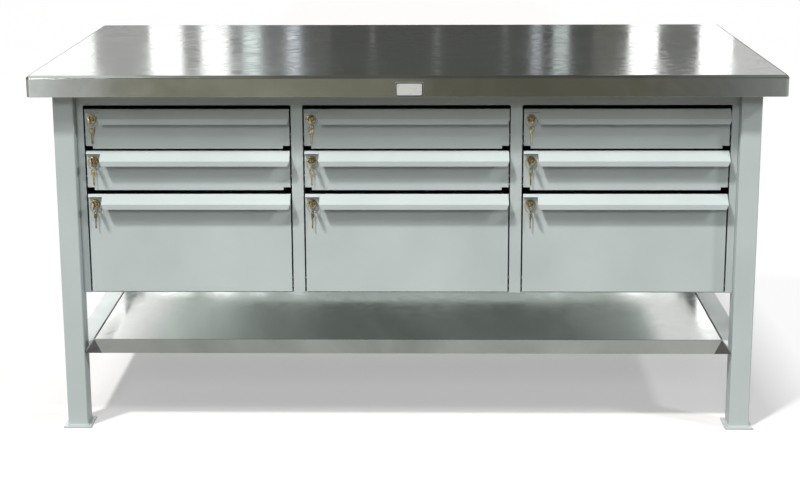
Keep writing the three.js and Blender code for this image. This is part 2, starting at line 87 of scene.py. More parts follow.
class Plane(Enum):
    """Plane that an outline is drawn in; it is drawn out along the axis that is left."""

    YZ = "x"
    XZ = "y"
    XY = "z"

    def lift(self, point: Point, along: float) -> Vector:
        """Gives the 3-D place of an outline's point.

        Args:
            point: The two coordinates in the plane.
            along: The coordinate along the axis that is left.

        Returns:
            The place in the frame.
        """
        u, v = point
        if self is Plane.YZ:
            return Vector((along, u, v))
        if self is Plane.XZ:
            return Vector((u, along, v))
        return Vector((u, v, along))


class Bank(Enum):
    """Columns of drawers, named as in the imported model."""

    LEFT = "left"
    CENTRE = "centre"
    RIGHT = "right"


class Row(Enum):
    """Rows of drawers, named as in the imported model."""

    UPPER = "upper"
    MIDDLE = "middle"
    LOWER = "lower"


# How far each row's spare keys have twisted on their rings, in degrees
SPARE_TURN = {Row.UPPER: 30.0, Row.MIDDLE: 42.0, Row.LOWER: 62.0}


# Outlines


def rounded_rectangle(half: Point, radius: float, steps: int = 6) -> List[Point]:
    """Lists a rectangle with rounded corners, counter-clockwise.

    Args:
        half: Half of the width and half of the depth.
        radius: The corner radius.
        steps: Straight steps in each corner.

    Returns:
        The outline's points.
    """
    points: List[Point] = []
    for corner, (sx, sy) in enumerate(((1, 1), (-1, 1), (-1, -1), (1, -1))):
        centre = (sx * (half[0] - radius), sy * (half[1] - radius))
        for step in range(steps + 1):
            angle = (corner + step / steps) * math.pi / 2
            points.append((centre[0] + radius * math.cos(angle), centre[1] + radius * math.sin(angle)))
    return points


def circle(centre: Point, radius: float, sides: int) -> List[Point]:
    """Lists a circle's points, counter-clockwise."""
    return ellipse(centre, (radius, radius), sides)


def ellipse(centre: Point, radii: Point, sides: int) -> List[Point]:
    """Lists an ellipse's points, counter-clockwise."""
    turns = [2 * math.pi * side / sides for side in range(sides)]
    return [(centre[0] + radii[0] * math.cos(t), centre[1] + radii[1] * math.sin(t)) for t in turns]


def rounded_line(points: Sequence[Point], radii: Sequence[float], steps: int = 5) -> List[Point]:
    """Rounds the inner corners of a line.

    Args:
        points: The corners of the line.
        radii: One radius for each inner corner.
        steps: Straight steps in each round corner.

    Returns:
        The rounded line.
    """
    line = [points[0]]
    for before, corner, after, radius in zip(points, points[1:], points[2:], radii):
        here = Vector(corner)
        back = (Vector(before) - here).normalized()
        ahead = (Vector(after) - here).normalized()
        half_angle = back.angle(ahead) / 2
        longest = (Vector(after) - here).length * CORNER_SHARE
        reach = min(radius / math.tan(half_angle), longest)
        start = here + back * reach
        end = here + ahead * reach
        for step in range(steps + 1):
            share = step / steps
            blended = start.lerp(here, share).lerp(here.lerp(end, share), share)
            line.append((blended.x, blended.y))
    line.append(points[-1])
    return line


def bent_sheet(line: Sequence[Point], sheet: float) -> List[Point]:
    """Gives a bent sheet's section from its outer line; the sheet lies to the line's left.

    Args:
        line: The outer line from one end of the sheet to the other.
        sheet: The sheet's thickness.

    Returns:
        The closed section.
    """
    inner: List[Point] = []
    for index, here in enumerate(line):
        before = Vector(line[max(index - 1, 0)])
        after = Vector(line[min(index + 1, len(line) - 1)])
        run = (after - before).normalized()
        inner.append((here[0] - run.y * sheet, here[1] + run.x * sheet))
    return [*line, *reversed(inner)]


# Nodes


class Shader:
    """Material under construction: a principled shader and the nodes that feed it."""

    def __init__(self, name: str) -> None:
        """Starts a material with one principled shader.

        Args:
            name: The material's name.
        """
        self.material = bpy.data.materials.new(name)
        self.material.use_nodes = True
        self.tree = self.material.node_tree
        self.surface = self.tree.nodes["Principled BSDF"]
        self.place = self.tree.nodes.new("ShaderNodeTexCoord").outputs["Object"]

    def fix(self, **values: object) -> None:
        """Sets the shader's own sockets; an underscore in a name stands for a space."""
        for name, value in values.items():
            self.surface.inputs[name.replace("_", " ")].default_value = value

    def feed(self, socket: str, output: Socket) -> None:
        """Links an output to one of the shader's sockets."""
        self.tree.links.new(output, self.surface.inputs[socket])

    def show(self, output: Socket) -> None:
        """Shows another shader's output in place of the principled one."""
        self.tree.links.new(output, self.tree.nodes["Material Output"].inputs["Surface"])

    def node(self, kind: str, links: Dict[str, Socket], **values: object) -> bpy.types.Node:
        """Adds a node.

        Args:
            kind: The node's type.
            links: Outputs to link, by input name.
            **values: Input values by name, with underscores for spaces.

        Returns:
            The node.
        """
        node = self.tree.nodes.new(kind)
        for name, value in values.items():
            node.inputs[name.replace("_", " ")].default_value = value
        for name, output in links.items():
            self.tree.links.new(output, node.inputs[name])
        return node

    def stretched(self, scale: Place) -> Socket:
        """Gives the object's coordinates stretched along each axis."""
        return self.node("ShaderNodeMapping", {"Vector": self.place}, Scale=scale).outputs["Vector"]

    def noise(
        self,
        scale: float,
        detail: float = 3.0,
        distortion: float = 0.0,
        stretch: Place = (1.0, 1.0, 1.0),
    ) -> Socket:
        """Gives a noise on the object's coordinates.

        Args:
            scale: Its cycles in a metre.
            detail: How many finer layers it has.
            distortion: How much it swirls.
            stretch: A further scale along each axis.

        Returns:
            The noise, from 0 to 1.
        """
        node = self.node(
            "ShaderNodeTexNoise",
            {"Vector": self.stretched(stretch)},
            Scale=scale,
            Detail=detail,
            Distortion=distortion,
        )
        return node.outputs["Fac"]

    def ramp(self, factor: Socket, band: Point, out: Point = FULL) -> Socket:
        """Maps one span of values onto another and clamps what lies outside.

        Args:
            factor: The value.
            band: The span that it is read in.
            out: The span that it is mapped onto.

        Returns:
            The mapped value.
        """
        node = self.node("ShaderNodeMapRange", {"Value": factor})
        for name, value in zip(("From Min", "From Max", "To Min", "To Max"), (*band, *out)):
            node.inputs[name].default_value = value
        return node.outputs["Result"]

    def mix(self, factor: Socket, first: Color, second: Color) -> Socket:
        """Mixes two colours.

        Args:
            factor: The second colour's share.
            first: The colour where the share is 0.
            second: The colour where the share is 1.

        Returns:
            The mixed colour.
        """
        node = self.tree.nodes.new("ShaderNodeMix")
        node.data_type = "RGBA"
        self.tree.links.new(factor, node.inputs[0])
        node.inputs[6].default_value = first
        node.inputs[7].default_value = second
        return node.outputs[2]

    def arithmetic(self, operation: str, *values: Socket) -> Socket:
        """Works out one value from one or two others.

        Args:
            operation: The name of the sum.
            *values: What goes into it.

        Returns:
            The result.
        """
        node = self.tree.nodes.new("ShaderNodeMath")
        node.operation = operation
        for socket, value in zip(node.inputs, values):
            self.tree.links.new(value, socket)
        return node.outputs[0]

    def blend(self, share: Socket, first: Socket, second: Socket) -> Socket:
        """Blends two shaders.

        Args:
            share: The second shader's share.
            first: The shader where the share is 0.
            second: The shader where the share is 1.

        Returns:
            The blended shader.
        """
        node = self.tree.nodes.new("ShaderNodeMixShader")
        for socket, output in zip(node.inputs, (share, first, second)):
            self.tree.links.new(output, socket)
        return node.outputs[0]

    def bump(self, height: Socket, depth: float, strength: float = 1.0) -> None:
        """Feeds the shader a bumpy normal.

        Args:
            height: The height from 0 to 1.
            depth: The depth of the relief in metres.
            strength: How much of the relief shows.
        """
        node = self.node("ShaderNodeBump", {"Height": height}, Strength=strength, Distance=depth)
        self.feed("Normal", node.outputs["Normal"])


# Finishes


@dataclass(frozen=True)
class PaintFinish:
    """Satin enamel on steel: faint mottling, orange peel and dust-dulled patches."""

    name: str = "Grey-green enamel"
    light: Color = (0.455, 0.512, 0.505, 1.0)
    dark: Color = (0.405, 0.458, 0.450, 1.0)
    mottle_scale: float = 4.0
    mottle_band: Point = (0.35, 0.65)
    dust_scale: float = 14.0
    dust_band: Point = (0.3, 0.7)
    roughness: Point = (0.36, 0.50)
    peel_scale: float = 420.0
    peel_depth: float = 0.05 * MM
    peel_strength: float = 0.5
    coat_weight: float = 0.12
    coat_roughness: float = 0.25

    def build(self) -> Material:
        """Makes the material.

        Returns:
            The material.
        """
        shader = Shader(self.name)
        mottle = shader.ramp(shader.noise(self.mottle_scale, detail=4.0), self.mottle_band)
        shader.feed("Base Color", shader.mix(mottle, self.dark, self.light))
        dust = shader.noise(self.dust_scale, detail=5.0)
        shader.feed("Roughness", shader.ramp(dust, self.dust_band, self.roughness))
        shader.bump(shader.noise(self.peel_scale, detail=2.0), self.peel_depth, self.peel_strength)
        shader.fix(Coat_Weight=self.coat_weight, Coat_Roughness=self.coat_roughness)
        return shader.material


@dataclass(frozen=True)
class StainlessFinish:
    """Polished stainless sheet: grain along the bench, slow waves, smears and curved scuffs."""

    name: str = "Polished stainless"
    light: Color = (0.325, 0.338, 0.324, 1.0)
    dark: Color = (0.216, 0.226, 0.212, 1.0)
    smear_scale: float = 2.2
    smear_stretch: Place = (1.0, 0.45, 1.0)
    smear_band: Point = (0.35, 0.68)
    scuff_scale: float = 9.0
    dull_band: Point = (0.8, 1.25)
    roughness: Point = (0.08, 0.20)
    grain_scale: float = 60.0
    grain_stretch: Place = (0.06, 9.0, 9.0)
    grain_height: Point = (0.0, 0.1)
    wave_scale: float = 1.6
    wave_height: Point = (0.0, 4.4)
    relief_depth: float = 0.02 * MM

    def build(self) -> Material:
        """Makes the material.

        Returns:
            The material.
        """
        shader = Shader(self.name)
        smear = shader.noise(self.smear_scale, detail=6.0, distortion=1.2, stretch=self.smear_stretch)
        scuff = shader.noise(self.scuff_scale, detail=8.0, distortion=3.5)
        tone = shader.ramp(smear, self.smear_band)
        shader.feed("Base Color", shader.mix(tone, self.dark, self.light))
        marks = shader.arithmetic("ADD", smear, scuff)
        shader.feed("Roughness", shader.ramp(marks, self.dull_band, self.roughness))
        grain = shader.noise(self.grain_scale, stretch=self.grain_stretch)
        wave = shader.noise(self.wave_scale, detail=1.0)
        fine = shader.ramp(grain, FULL, self.grain_height)
        slow = shader.ramp(wave, FULL, self.wave_height)
        shader.bump(shader.arithmetic("ADD", fine, slow), self.relief_depth)
        shader.fix(Metallic=1.0)
        return shader.material


@dataclass(frozen=True)
class MetalFinish:
    """Small bare metal pieces: two tones, dulled in patches, with fine handling marks."""

    name: str
    light: Color
    dark: Color
    roughness: Point
    patch_scale: float = 120.0
    patch_band: Point = (0.35, 0.62)
    wear_band: Point = (0.3, 0.7)
    mark_scale: float = 1600.0
    mark_depth: float = 0.02 * MM
    mark_strength: float = 0.6

    def build(self) -> Material:
        """Makes the material.

        Returns:
            The material.
        """
        shader = Shader(self.name)
        patch = shader.noise(self.patch_scale, detail=5.0, distortion=0.6)
        tone = shader.ramp(patch, self.patch_band)
        shader.feed("Base Color", shader.mix(tone, self.dark, self.light))
        bright, dull = self.roughness
        shader.feed("Roughness", shader.ramp(patch, self.wear_band, (dull, bright)))
        marks = shader.noise(self.mark_scale, distortion=0.5)
        shader.bump(marks, self.mark_depth, self.mark_strength)
        shader.fix(Metallic=1.0)
        return shader.material


@dataclass(frozen=True)
class EnamelFinish:
    """Flat enamel or ink with a little dirt, or a near-black coat that paints shade."""

    name: str
    clean: Color
    dirty: Color
    roughness: Point = (0.3, 0.5)
    dirt_scale: float = 70.0
    dirt_band: Point = (0.52, 0.75)
    dull_band: Point = (0.3, 0.7)

    def build(self) -> Material:
        """Makes the material.

        Returns:
            The material.
        """
        shader = Shader(self.name)
        dirt = shader.noise(self.dirt_scale, detail=6.0, distortion=0.4)
        tone = shader.ramp(dirt, self.dirt_band)
        shader.feed("Base Color", shader.mix(tone, self.clean, self.dirty))
        shader.feed("Roughness", shader.ramp(dirt, self.dull_band, self.roughness))
        return shader.material


@dataclass(frozen=True)
class BoardFinish:
    """Raw particle board: chips of two browns pressed together."""

    name: str = "Particle board"
    light: Color = (0.42, 0.30, 0.18, 1.0)
    dark: Color = (0.20, 0.13, 0.07, 1.0)
    roughness: float = 0.85
    chip_scale: float = 140.0
    chip_stretch: Place = (1.0, 0.5, 1.0)
    chip_band: Point = (0.1, 0.7)
    chip_depth: float = 0.3 * MM
    chip_strength: float = 0.5

    def build(self) -> Material:
        """Makes the material.

        Returns:
            The material.
        """
        shader = Shader(self.name)
        spread = shader.stretched(self.chip_stretch)
        chips = shader.node("ShaderNodeTexVoronoi", {"Vector": spread}, Scale=self.chip_scale)
        height = chips.outputs["Distance"]
        shade = shader.ramp(height, self.chip_band)
        shader.feed("Base Color", shader.mix(shade, self.light, self.dark))
        shader.bump(height, self.chip_depth, self.chip_strength)
        shader.fix(Roughness=self.roughness)
        return shader.material


class Finishes:
    """All the materials of the bench, made once."""

    def __init__(self) -> None:
        """Makes the materials."""
        self.paint = PaintFinish().build()
        self.stainless = StainlessFinish().build()
        self.brass = MetalFinish(
            "Worn brass",
            light=(0.54, 0.44, 0.20, 1.0),
            dark=(0.07, 0.055, 0.025, 1.0),
            roughness=(0.12, 0.32),
            patch_scale=240.0,
        ).build()
        self.pale_brass = MetalFinish(
            "Pale brass",
            light=(0.44, 0.37, 0.21, 1.0),
            dark=(0.17, 0.14, 0.075, 1.0),
            roughness=(0.16, 0.36),
        ).build()
        self.nickel = MetalFinish(
            "Nickel plate",
            light=(0.62, 0.56, 0.40, 1.0),
            dark=(0.16, 0.135, 0.085, 1.0),
            roughness=(0.16, 0.36),
            patch_scale=200.0,
        ).build()
        self.zinc = MetalFinish(
            "Zinc plate",
            light=(0.62, 0.63, 0.62, 1.0),
            dark=(0.45, 0.46, 0.46, 1.0),
            roughness=(0.28, 0.45),
            patch_scale=60.0,
        ).build()
        self.plate = EnamelFinish(
            "Plate enamel",
            clean=(0.50, 0.51, 0.49, 1.0),
            dirty=(0.36, 0.36, 0.34, 1.0),
        ).build()
        self.border = EnamelFinish(
            "Border ink",
            clean=(0.015, 0.016, 0.018, 1.0),
            dirty=(0.05, 0.05, 0.05, 1.0),
        ).build()
        self.board = BoardFinish().build()
        # Near-black coat on the shelf's end strips and corner gussets; it paints the shade in those
        # joints and corners
        self.painted_shade = EnamelFinish(
            "Painted shade",
            clean=(0.075, 0.078, 0.076, 1.0),
            dirty=(0.045, 0.045, 0.050, 1.0),
            roughness=(0.85, 0.95),
        ).build()


# Meshes


class Piece:
    """Mesh under construction; it becomes one object that rides on one body."""

    SMOOTH_ANGLE = math.radians(38)
    FLAT_ANGLE = math.radians(0.5)
    MERGE = 0.002 * MM

    def __init__(self, name: str) -> None:
        """Starts an empty mesh."""
        self.name = name
        self.mesh = bmesh.new()

    def box(self, low: Place, high: Place) -> None:
        """Adds a box between two corners."""
        outline = [(low[0], low[1]), (high[0], low[1]), (high[0], high[1]), (low[0], high[1])]
        self.prism(outline, Plane.XY, low[2], high[2])

    def prism(
        self,
        outline: Sequence[Point],
        plane: Plane,
        start: float,
        stop: float,
    ) -> List[bmesh.types.BMVert]:
        """Adds an outline drawn out along its axis.

        Args:
            outline: The closed outline.
            plane: The plane that the outline lies in.
            start: Where the first cap lies along the axis.
            stop: Where the second cap lies along the axis.

        Returns:
            The new vertices, the first cap's before the second's.
        """
        rings = [[plane.lift(point, along) for point in outline] for along in (start, stop)]
        return self.loft(rings)

    def loft(self, rings: Sequence[Sequence[Vector]], capped: bool = True) -> List[bmesh.types.BMVert]:
        """Adds a skin over rings of as many points each.

        Args:
            rings: The rings, in order.
            capped: True closes both ends, False joins the last ring to the first.

        Returns:
            The new vertices, ring by ring.
        """
        made = [[self.mesh.verts.new(place) for place in ring] for ring in rings]
        count = len(made[0])
        pairs = list(zip(made, made[1:]))
        if not capped:
            pairs.append((made[-1], made[0]))
        faces = []
        for lower, upper in pairs:
            for index in range(count):
                after = (index + 1) % count
                corners = (lower[index], lower[after], upper[after], upper[index])
                faces.append(self.mesh.faces.new(corners))
        if capped:
            faces.append(self.mesh.faces.new(list(reversed(made[0]))))
            faces.append(self.mesh.faces.new(made[-1]))
        bmesh.ops.recalc_face_normals(self.mesh, faces=faces)
        return [vert for ring in made for vert in ring]

    def pierced(
        self,
        outer: Sequence[Point],
        inner: Sequence[Point],
        plane: Plane,
        start: float,
        stop: float,
    ) -> None:
        """Adds a plate with a hole.

        Args:
            outer: The plate's outline.
            inner: The hole's outline, with as many points and started on the same side.
            plane: The plane that both lie in.
            start: Where the plate starts along the axis.
            stop: Where it stops.
        """
        rings = []
        for outline, along in ((outer, start), (outer, stop), (inner, stop), (inner, start)):
            rings.append([plane.lift(point, along) for point in outline])
        self.loft(rings, capped=False)

    def turned(self, profile: Sequence[Point], axis: Vector, sides: int = 48) -> None:
        """Adds a body turned about a line along Y.

        Args:
            profile: The closed section, as radius and Y; a solid piece starts and ends on the axis.
            axis: A point on the axis, where Y is 0.
            sides: Steps round the axis.
        """
        on_axis = profile[0][0] == 0.0
        section = profile[1:-1] if on_axis else profile
        rings = []
        for radius, y in section:
            ring = circle((axis.x, axis.z), radius, sides)
            rings.append([Plane.XZ.lift(point, axis.y + y) for point in ring])
        self.loft(rings, capped=on_axis)

    def node_skin(self, node: bpy.types.Object) -> None:
        """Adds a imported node's own surface, with its flat faces made whole.

        Args:
            node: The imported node's object.
        """
        start = len(self.mesh.verts)
        self.mesh.from_mesh(node.data)
        self.mesh.verts.ensure_lookup_table()
        bmesh.ops.remove_doubles(self.mesh, verts=self.mesh.verts[start:], dist=self.MERGE)
        bmesh.ops.dissolve_limit(
            self.mesh,
            angle_limit=self.FLAT_ANGLE,
            verts=self.mesh.verts[:],
            edges=self.mesh.edges[:],
        )

    def soften(self, width: float, steps: int = 2, least_angle: float = 30.0) -> None:
        """Rounds the sharp edges of all that the piece holds so far.

        Args:
            width: The width of the round edge.
            steps: Straight steps across it.
            least_angle: The turn in degrees past which an edge is sharp.
        """
        limit = math.radians(least_angle)
        whole = [edge for edge in self.mesh.edges if edge.is_manifold]
        sharp = [edge for edge in whole if edge.calc_face_angle() > limit]
        bmesh.ops.bevel(
            self.mesh,
            geom=sharp,
            offset=width,
            segments=steps,
            profile=0.5,
            affect="EDGES",
            clamp_overlap=True,
        )

    def place(
        self,
        material: Material,
        body: str,
        slot: str,
        replaced: Iterable[str] = (),
    ) -> bpy.types.Object:
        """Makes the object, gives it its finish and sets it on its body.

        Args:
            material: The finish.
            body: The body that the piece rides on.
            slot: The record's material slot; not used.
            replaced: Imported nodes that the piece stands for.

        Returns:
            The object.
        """
        data = bpy.data.meshes.new(self.name)
        self.mesh.to_mesh(data)
        self.mesh.free()
        data.materials.append(material)
        data.shade_smooth()
        data.set_sharp_from_angle(angle=self.SMOOTH_ANGLE)
        made = bpy.data.objects.new(self.name, data)
        bpy.context.scene.collection.objects.link(made)
        weighting = made.modifiers.new("Face weighting", "WEIGHTED_NORMAL")
        weighting.keep_sharp = True
        return seat(made, body, replaced)


def seat(
    made: bpy.types.Object,
    body: str,
    replaced: Iterable[str] = (),
) -> bpy.types.Object:
    """Sets a finished object on its body.

    Args:
        made: The object.
        body: The body that it rides on.
        replaced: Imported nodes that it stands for.

    Returns:
        The object.
    """
    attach(made, body)
    nodes = list(replaced)
    if nodes:
        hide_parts(*nodes)
    LOG.info("%s rides on %s, %d faces", made.name, body, len(made.data.polygons))
    return made


# Geometry Nodes


class PathTree:
    """Geometry Nodes tree that follows paths, with named inputs for its sizes."""

    def __init__(self, name: str, sizes: Sequence[str]) -> None:
        """Starts a tree with a path, sizes and a material as inputs.

        Args:
            name: The tree's name.
            sizes: The names of its sizes.
        """
        self.tree = bpy.data.node_groups.new(name, "GeometryNodeTree")
        self.keys: Dict[str, str] = {}
        self._socket("Path", "NodeSocketGeometry")
        for size in sizes:
            self._socket(size, "NodeSocketFloat")
        self._socket("Finish", "NodeSocketMaterial")
        self.tree.interface.new_socket("Mesh", in_out="OUTPUT", socket_type="NodeSocketGeometry")
        self.inputs = self.tree.nodes.new("NodeGroupInput").outputs
        self.shape()

    def _socket(self, name: str, kind: str) -> None:
        """Adds a named input."""
        made = self.tree.interface.new_socket(name, in_out="INPUT", socket_type=kind)
        self.keys[name] = made.identifier

    def node(self, kind: str, links: Dict[str, Socket]) -> bpy.types.Node:
        """Adds a node with its inputs linked.

        Args:
            kind: The node's type.
            links: Outputs to link, by input name.

        Returns:
            The node.
        """
        made = self.tree.nodes.new(kind)
        for name, output in links.items():
            self.tree.links.new(output, made.inputs[name])
        return made

    def shape(self) -> None:
        """Fills the tree; each kind of path piece has its own way."""
        raise NotImplementedError

    def close(self, geometry: Socket) -> None:
        """Ends the tree in plain, finished geometry.

        Args:
            geometry: What the tree has made.
        """
        real = self.node("GeometryNodeRealizeInstances", {"Geometry": geometry})
        smooth = self.node("GeometryNodeSetShadeSmooth", {"Geometry": real.outputs["Geometry"]})
        finish = self.node(
            "GeometryNodeSetMaterial",
            {"Geometry": smooth.outputs["Geometry"], "Material": self.inputs["Finish"]},
        )
        self.node("NodeGroupOutput", {"Mesh": finish.outputs["Geometry"]})

    def grow(
        self,
        name: str,
        paths: Sequence[Path],
        sizes: Dict[str, float],
        material: Material,
    ) -> bpy.types.Object:
        """Grows the tree along paths and turns the result into a plain mesh.

        Args:
            name: The piece's name.
            paths: Each path's points, and whether it is closed.
            sizes: The tree's sizes by name.
            material: The finish.

        Returns:
            The new object, not yet on a body.
        """
        lines = bmesh.new()
        for points, closed in paths:
            verts = [lines.verts.new(point) for point in points]
            ends = zip(verts, verts[1:] + verts[:1]) if closed else zip(verts, verts[1:])
            for start, stop in ends:
                lines.edges.new((start, stop))
        data = bpy.data.meshes.new(name + "_path")
        lines.to_mesh(data)
        lines.free()
        guide = bpy.data.objects.new(name + "_path", data)
        bpy.context.scene.collection.objects.link(guide)
        modifier = guide.modifiers.new("Path piece", "NODES")
        modifier.node_group = self.tree
        for size, value in sizes.items():
            modifier[self.keys[size]] = value
        modifier[self.keys["Finish"]] = material
        graph = bpy.context.evaluated_depsgraph_get()
        grown = bpy.data.meshes.new_from_object(guide.evaluated_get(graph), depsgraph=graph)
        bpy.data.objects.remove(guide)
        grown.name = name
        made = bpy.data.objects.new(name, grown)
        bpy.context.scene.collection.objects.link(made)
        return made


class BeadTree(PathTree):
    """Row of round beads along a path: weld ripples or the balls of a slide."""

    ROUNDS = 2

    def shape(self) -> None:
        """Sets a small ball on each point of the path."""
        curve = self.node("GeometryNodeMeshToCurve", {"Mesh": self.inputs["Path"]})
        points = self.tree.nodes.new("GeometryNodeCurveToPoints")
        points.mode = "LENGTH"
        self.tree.links.new(curve.outputs["Curve"], points.inputs["Curve"])
        self.tree.links.new(self.inputs["Pitch"], points.inputs["Length"])
        ball = self.node("GeometryNodeMeshIcoSphere", {"Radius": self.inputs["Radius"]})
        ball.inputs["Subdivisions"].default_value = self.ROUNDS
        copies = self.node(
            "GeometryNodeInstanceOnPoints",
            {"Points": points.outputs["Points"], "Instance": ball.outputs["Mesh"]},
        )
        self.close(copies.outputs["Instances"])


class WireTree(PathTree):
    """Round wire along a path."""

    SIDES = 10

    def shape(self) -> None:
        """Draws a circle along the path."""
        curve = self.node("GeometryNodeMeshToCurve", {"Mesh": self.inputs["Path"]})
        section = self.node("GeometryNodeCurvePrimitiveCircle", {"Radius": self.inputs["Radius"]})
        section.inputs["Resolution"].default_value = self.SIDES
        wire = self.node(
            "GeometryNodeCurveToMesh",
            {"Curve": curve.outputs["Curve"], "Profile Curve": section.outputs["Curve"]},
        )
        self.close(wire.outputs["Mesh"])


# Sub-assemblies


@dataclass
class Top:
    """Stainless pan over its core, with the bare plate on its front."""

    finishes: Finishes
    sheet: float = 2.5 * MM
    corner_radius: float = 12 * MM
    edge_radius: float = 10 * MM
    lip_round: float = 0.8 * MM
    edge_steps: int = 8
    plate_corner: float = 2.5 * MM
    plate_round: float = 0.3 * MM
    border_inset: float = 0.4 * MM
    border_width: float = 2.8 * MM
    border_proud: float = 0.15 * MM

    def build(self, nodes: Nodes) -> None:
        """Builds the pan, the core and the plate.

        Args:
            nodes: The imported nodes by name.
        """
        self.pan()
        core = Piece("core_board")
        core.node_skin(nodes["top_core"])
        core.place(self.finishes.board, "bench", "core_board", ["top_core"])
        self.plate()

    def pan(self) -> None:
        """Skins the pan from the middle of its top round the edge to its inside."""
        low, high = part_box("bench_top")
        half = ((high.x - low.x) / 2, (high.y - low.y) / 2)
        section: List[Point] = []
        for step in range(self.edge_steps + 1):
            angle = step / self.edge_steps * math.pi / 2
            inset = self.edge_radius * (1 - math.sin(angle))
            section.append((inset, high.z - self.edge_radius * (1 - math.cos(angle))))
        section.append((0.0, low.z + self.lip_round))
        section.append((self.lip_round, low.z))
        section.append((self.sheet, low.z))
        section.append((self.sheet, high.z - self.sheet))
        rings = []
        for inset, z in section:
            loop = rounded_rectangle((half[0] - inset, half[1] - inset), self.corner_radius - inset)
            rings.append([Vector((x, y, z)) for x, y in loop])
        pan = Piece("stainless_top")
        pan.loft(rings)
        pan.place(self.finishes.stainless, "bench", "stainless", ["bench_top"])

    def plate(self) -> None:
        """Makes the bare plate and its printed border."""
        low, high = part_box("name_plate")
        half = ((high.x - low.x) / 2, (high.z - low.z) / 2)
        centre = ((high.x + low.x) / 2, (high.z + low.z) / 2)

        def outline(inset: float) -> List[Point]:
            """Gives the plate's outline, drawn in by an inset."""
            loop = rounded_rectangle((half[0] - inset, half[1] - inset), self.plate_corner)
            return [(x + centre[0], z + centre[1]) for x, z in loop]

        plate = Piece("bare_plate")
        plate.prism(outline(0.0), Plane.XZ, low.y + self.border_proud, high.y)
        plate.soften(self.plate_round)
        plate.place(self.finishes.plate, "bench", "plate_enamel", ["name_plate"])
        border = Piece("plate_border")
        inner = outline(self.border_inset + self.border_width)
        back = low.y + 2 * self.border_proud
        border.pierced(outline(self.border_inset), inner, Plane.XZ, low.y, back)
        border.place(self.finishes.border, "bench", "plate_enamel")


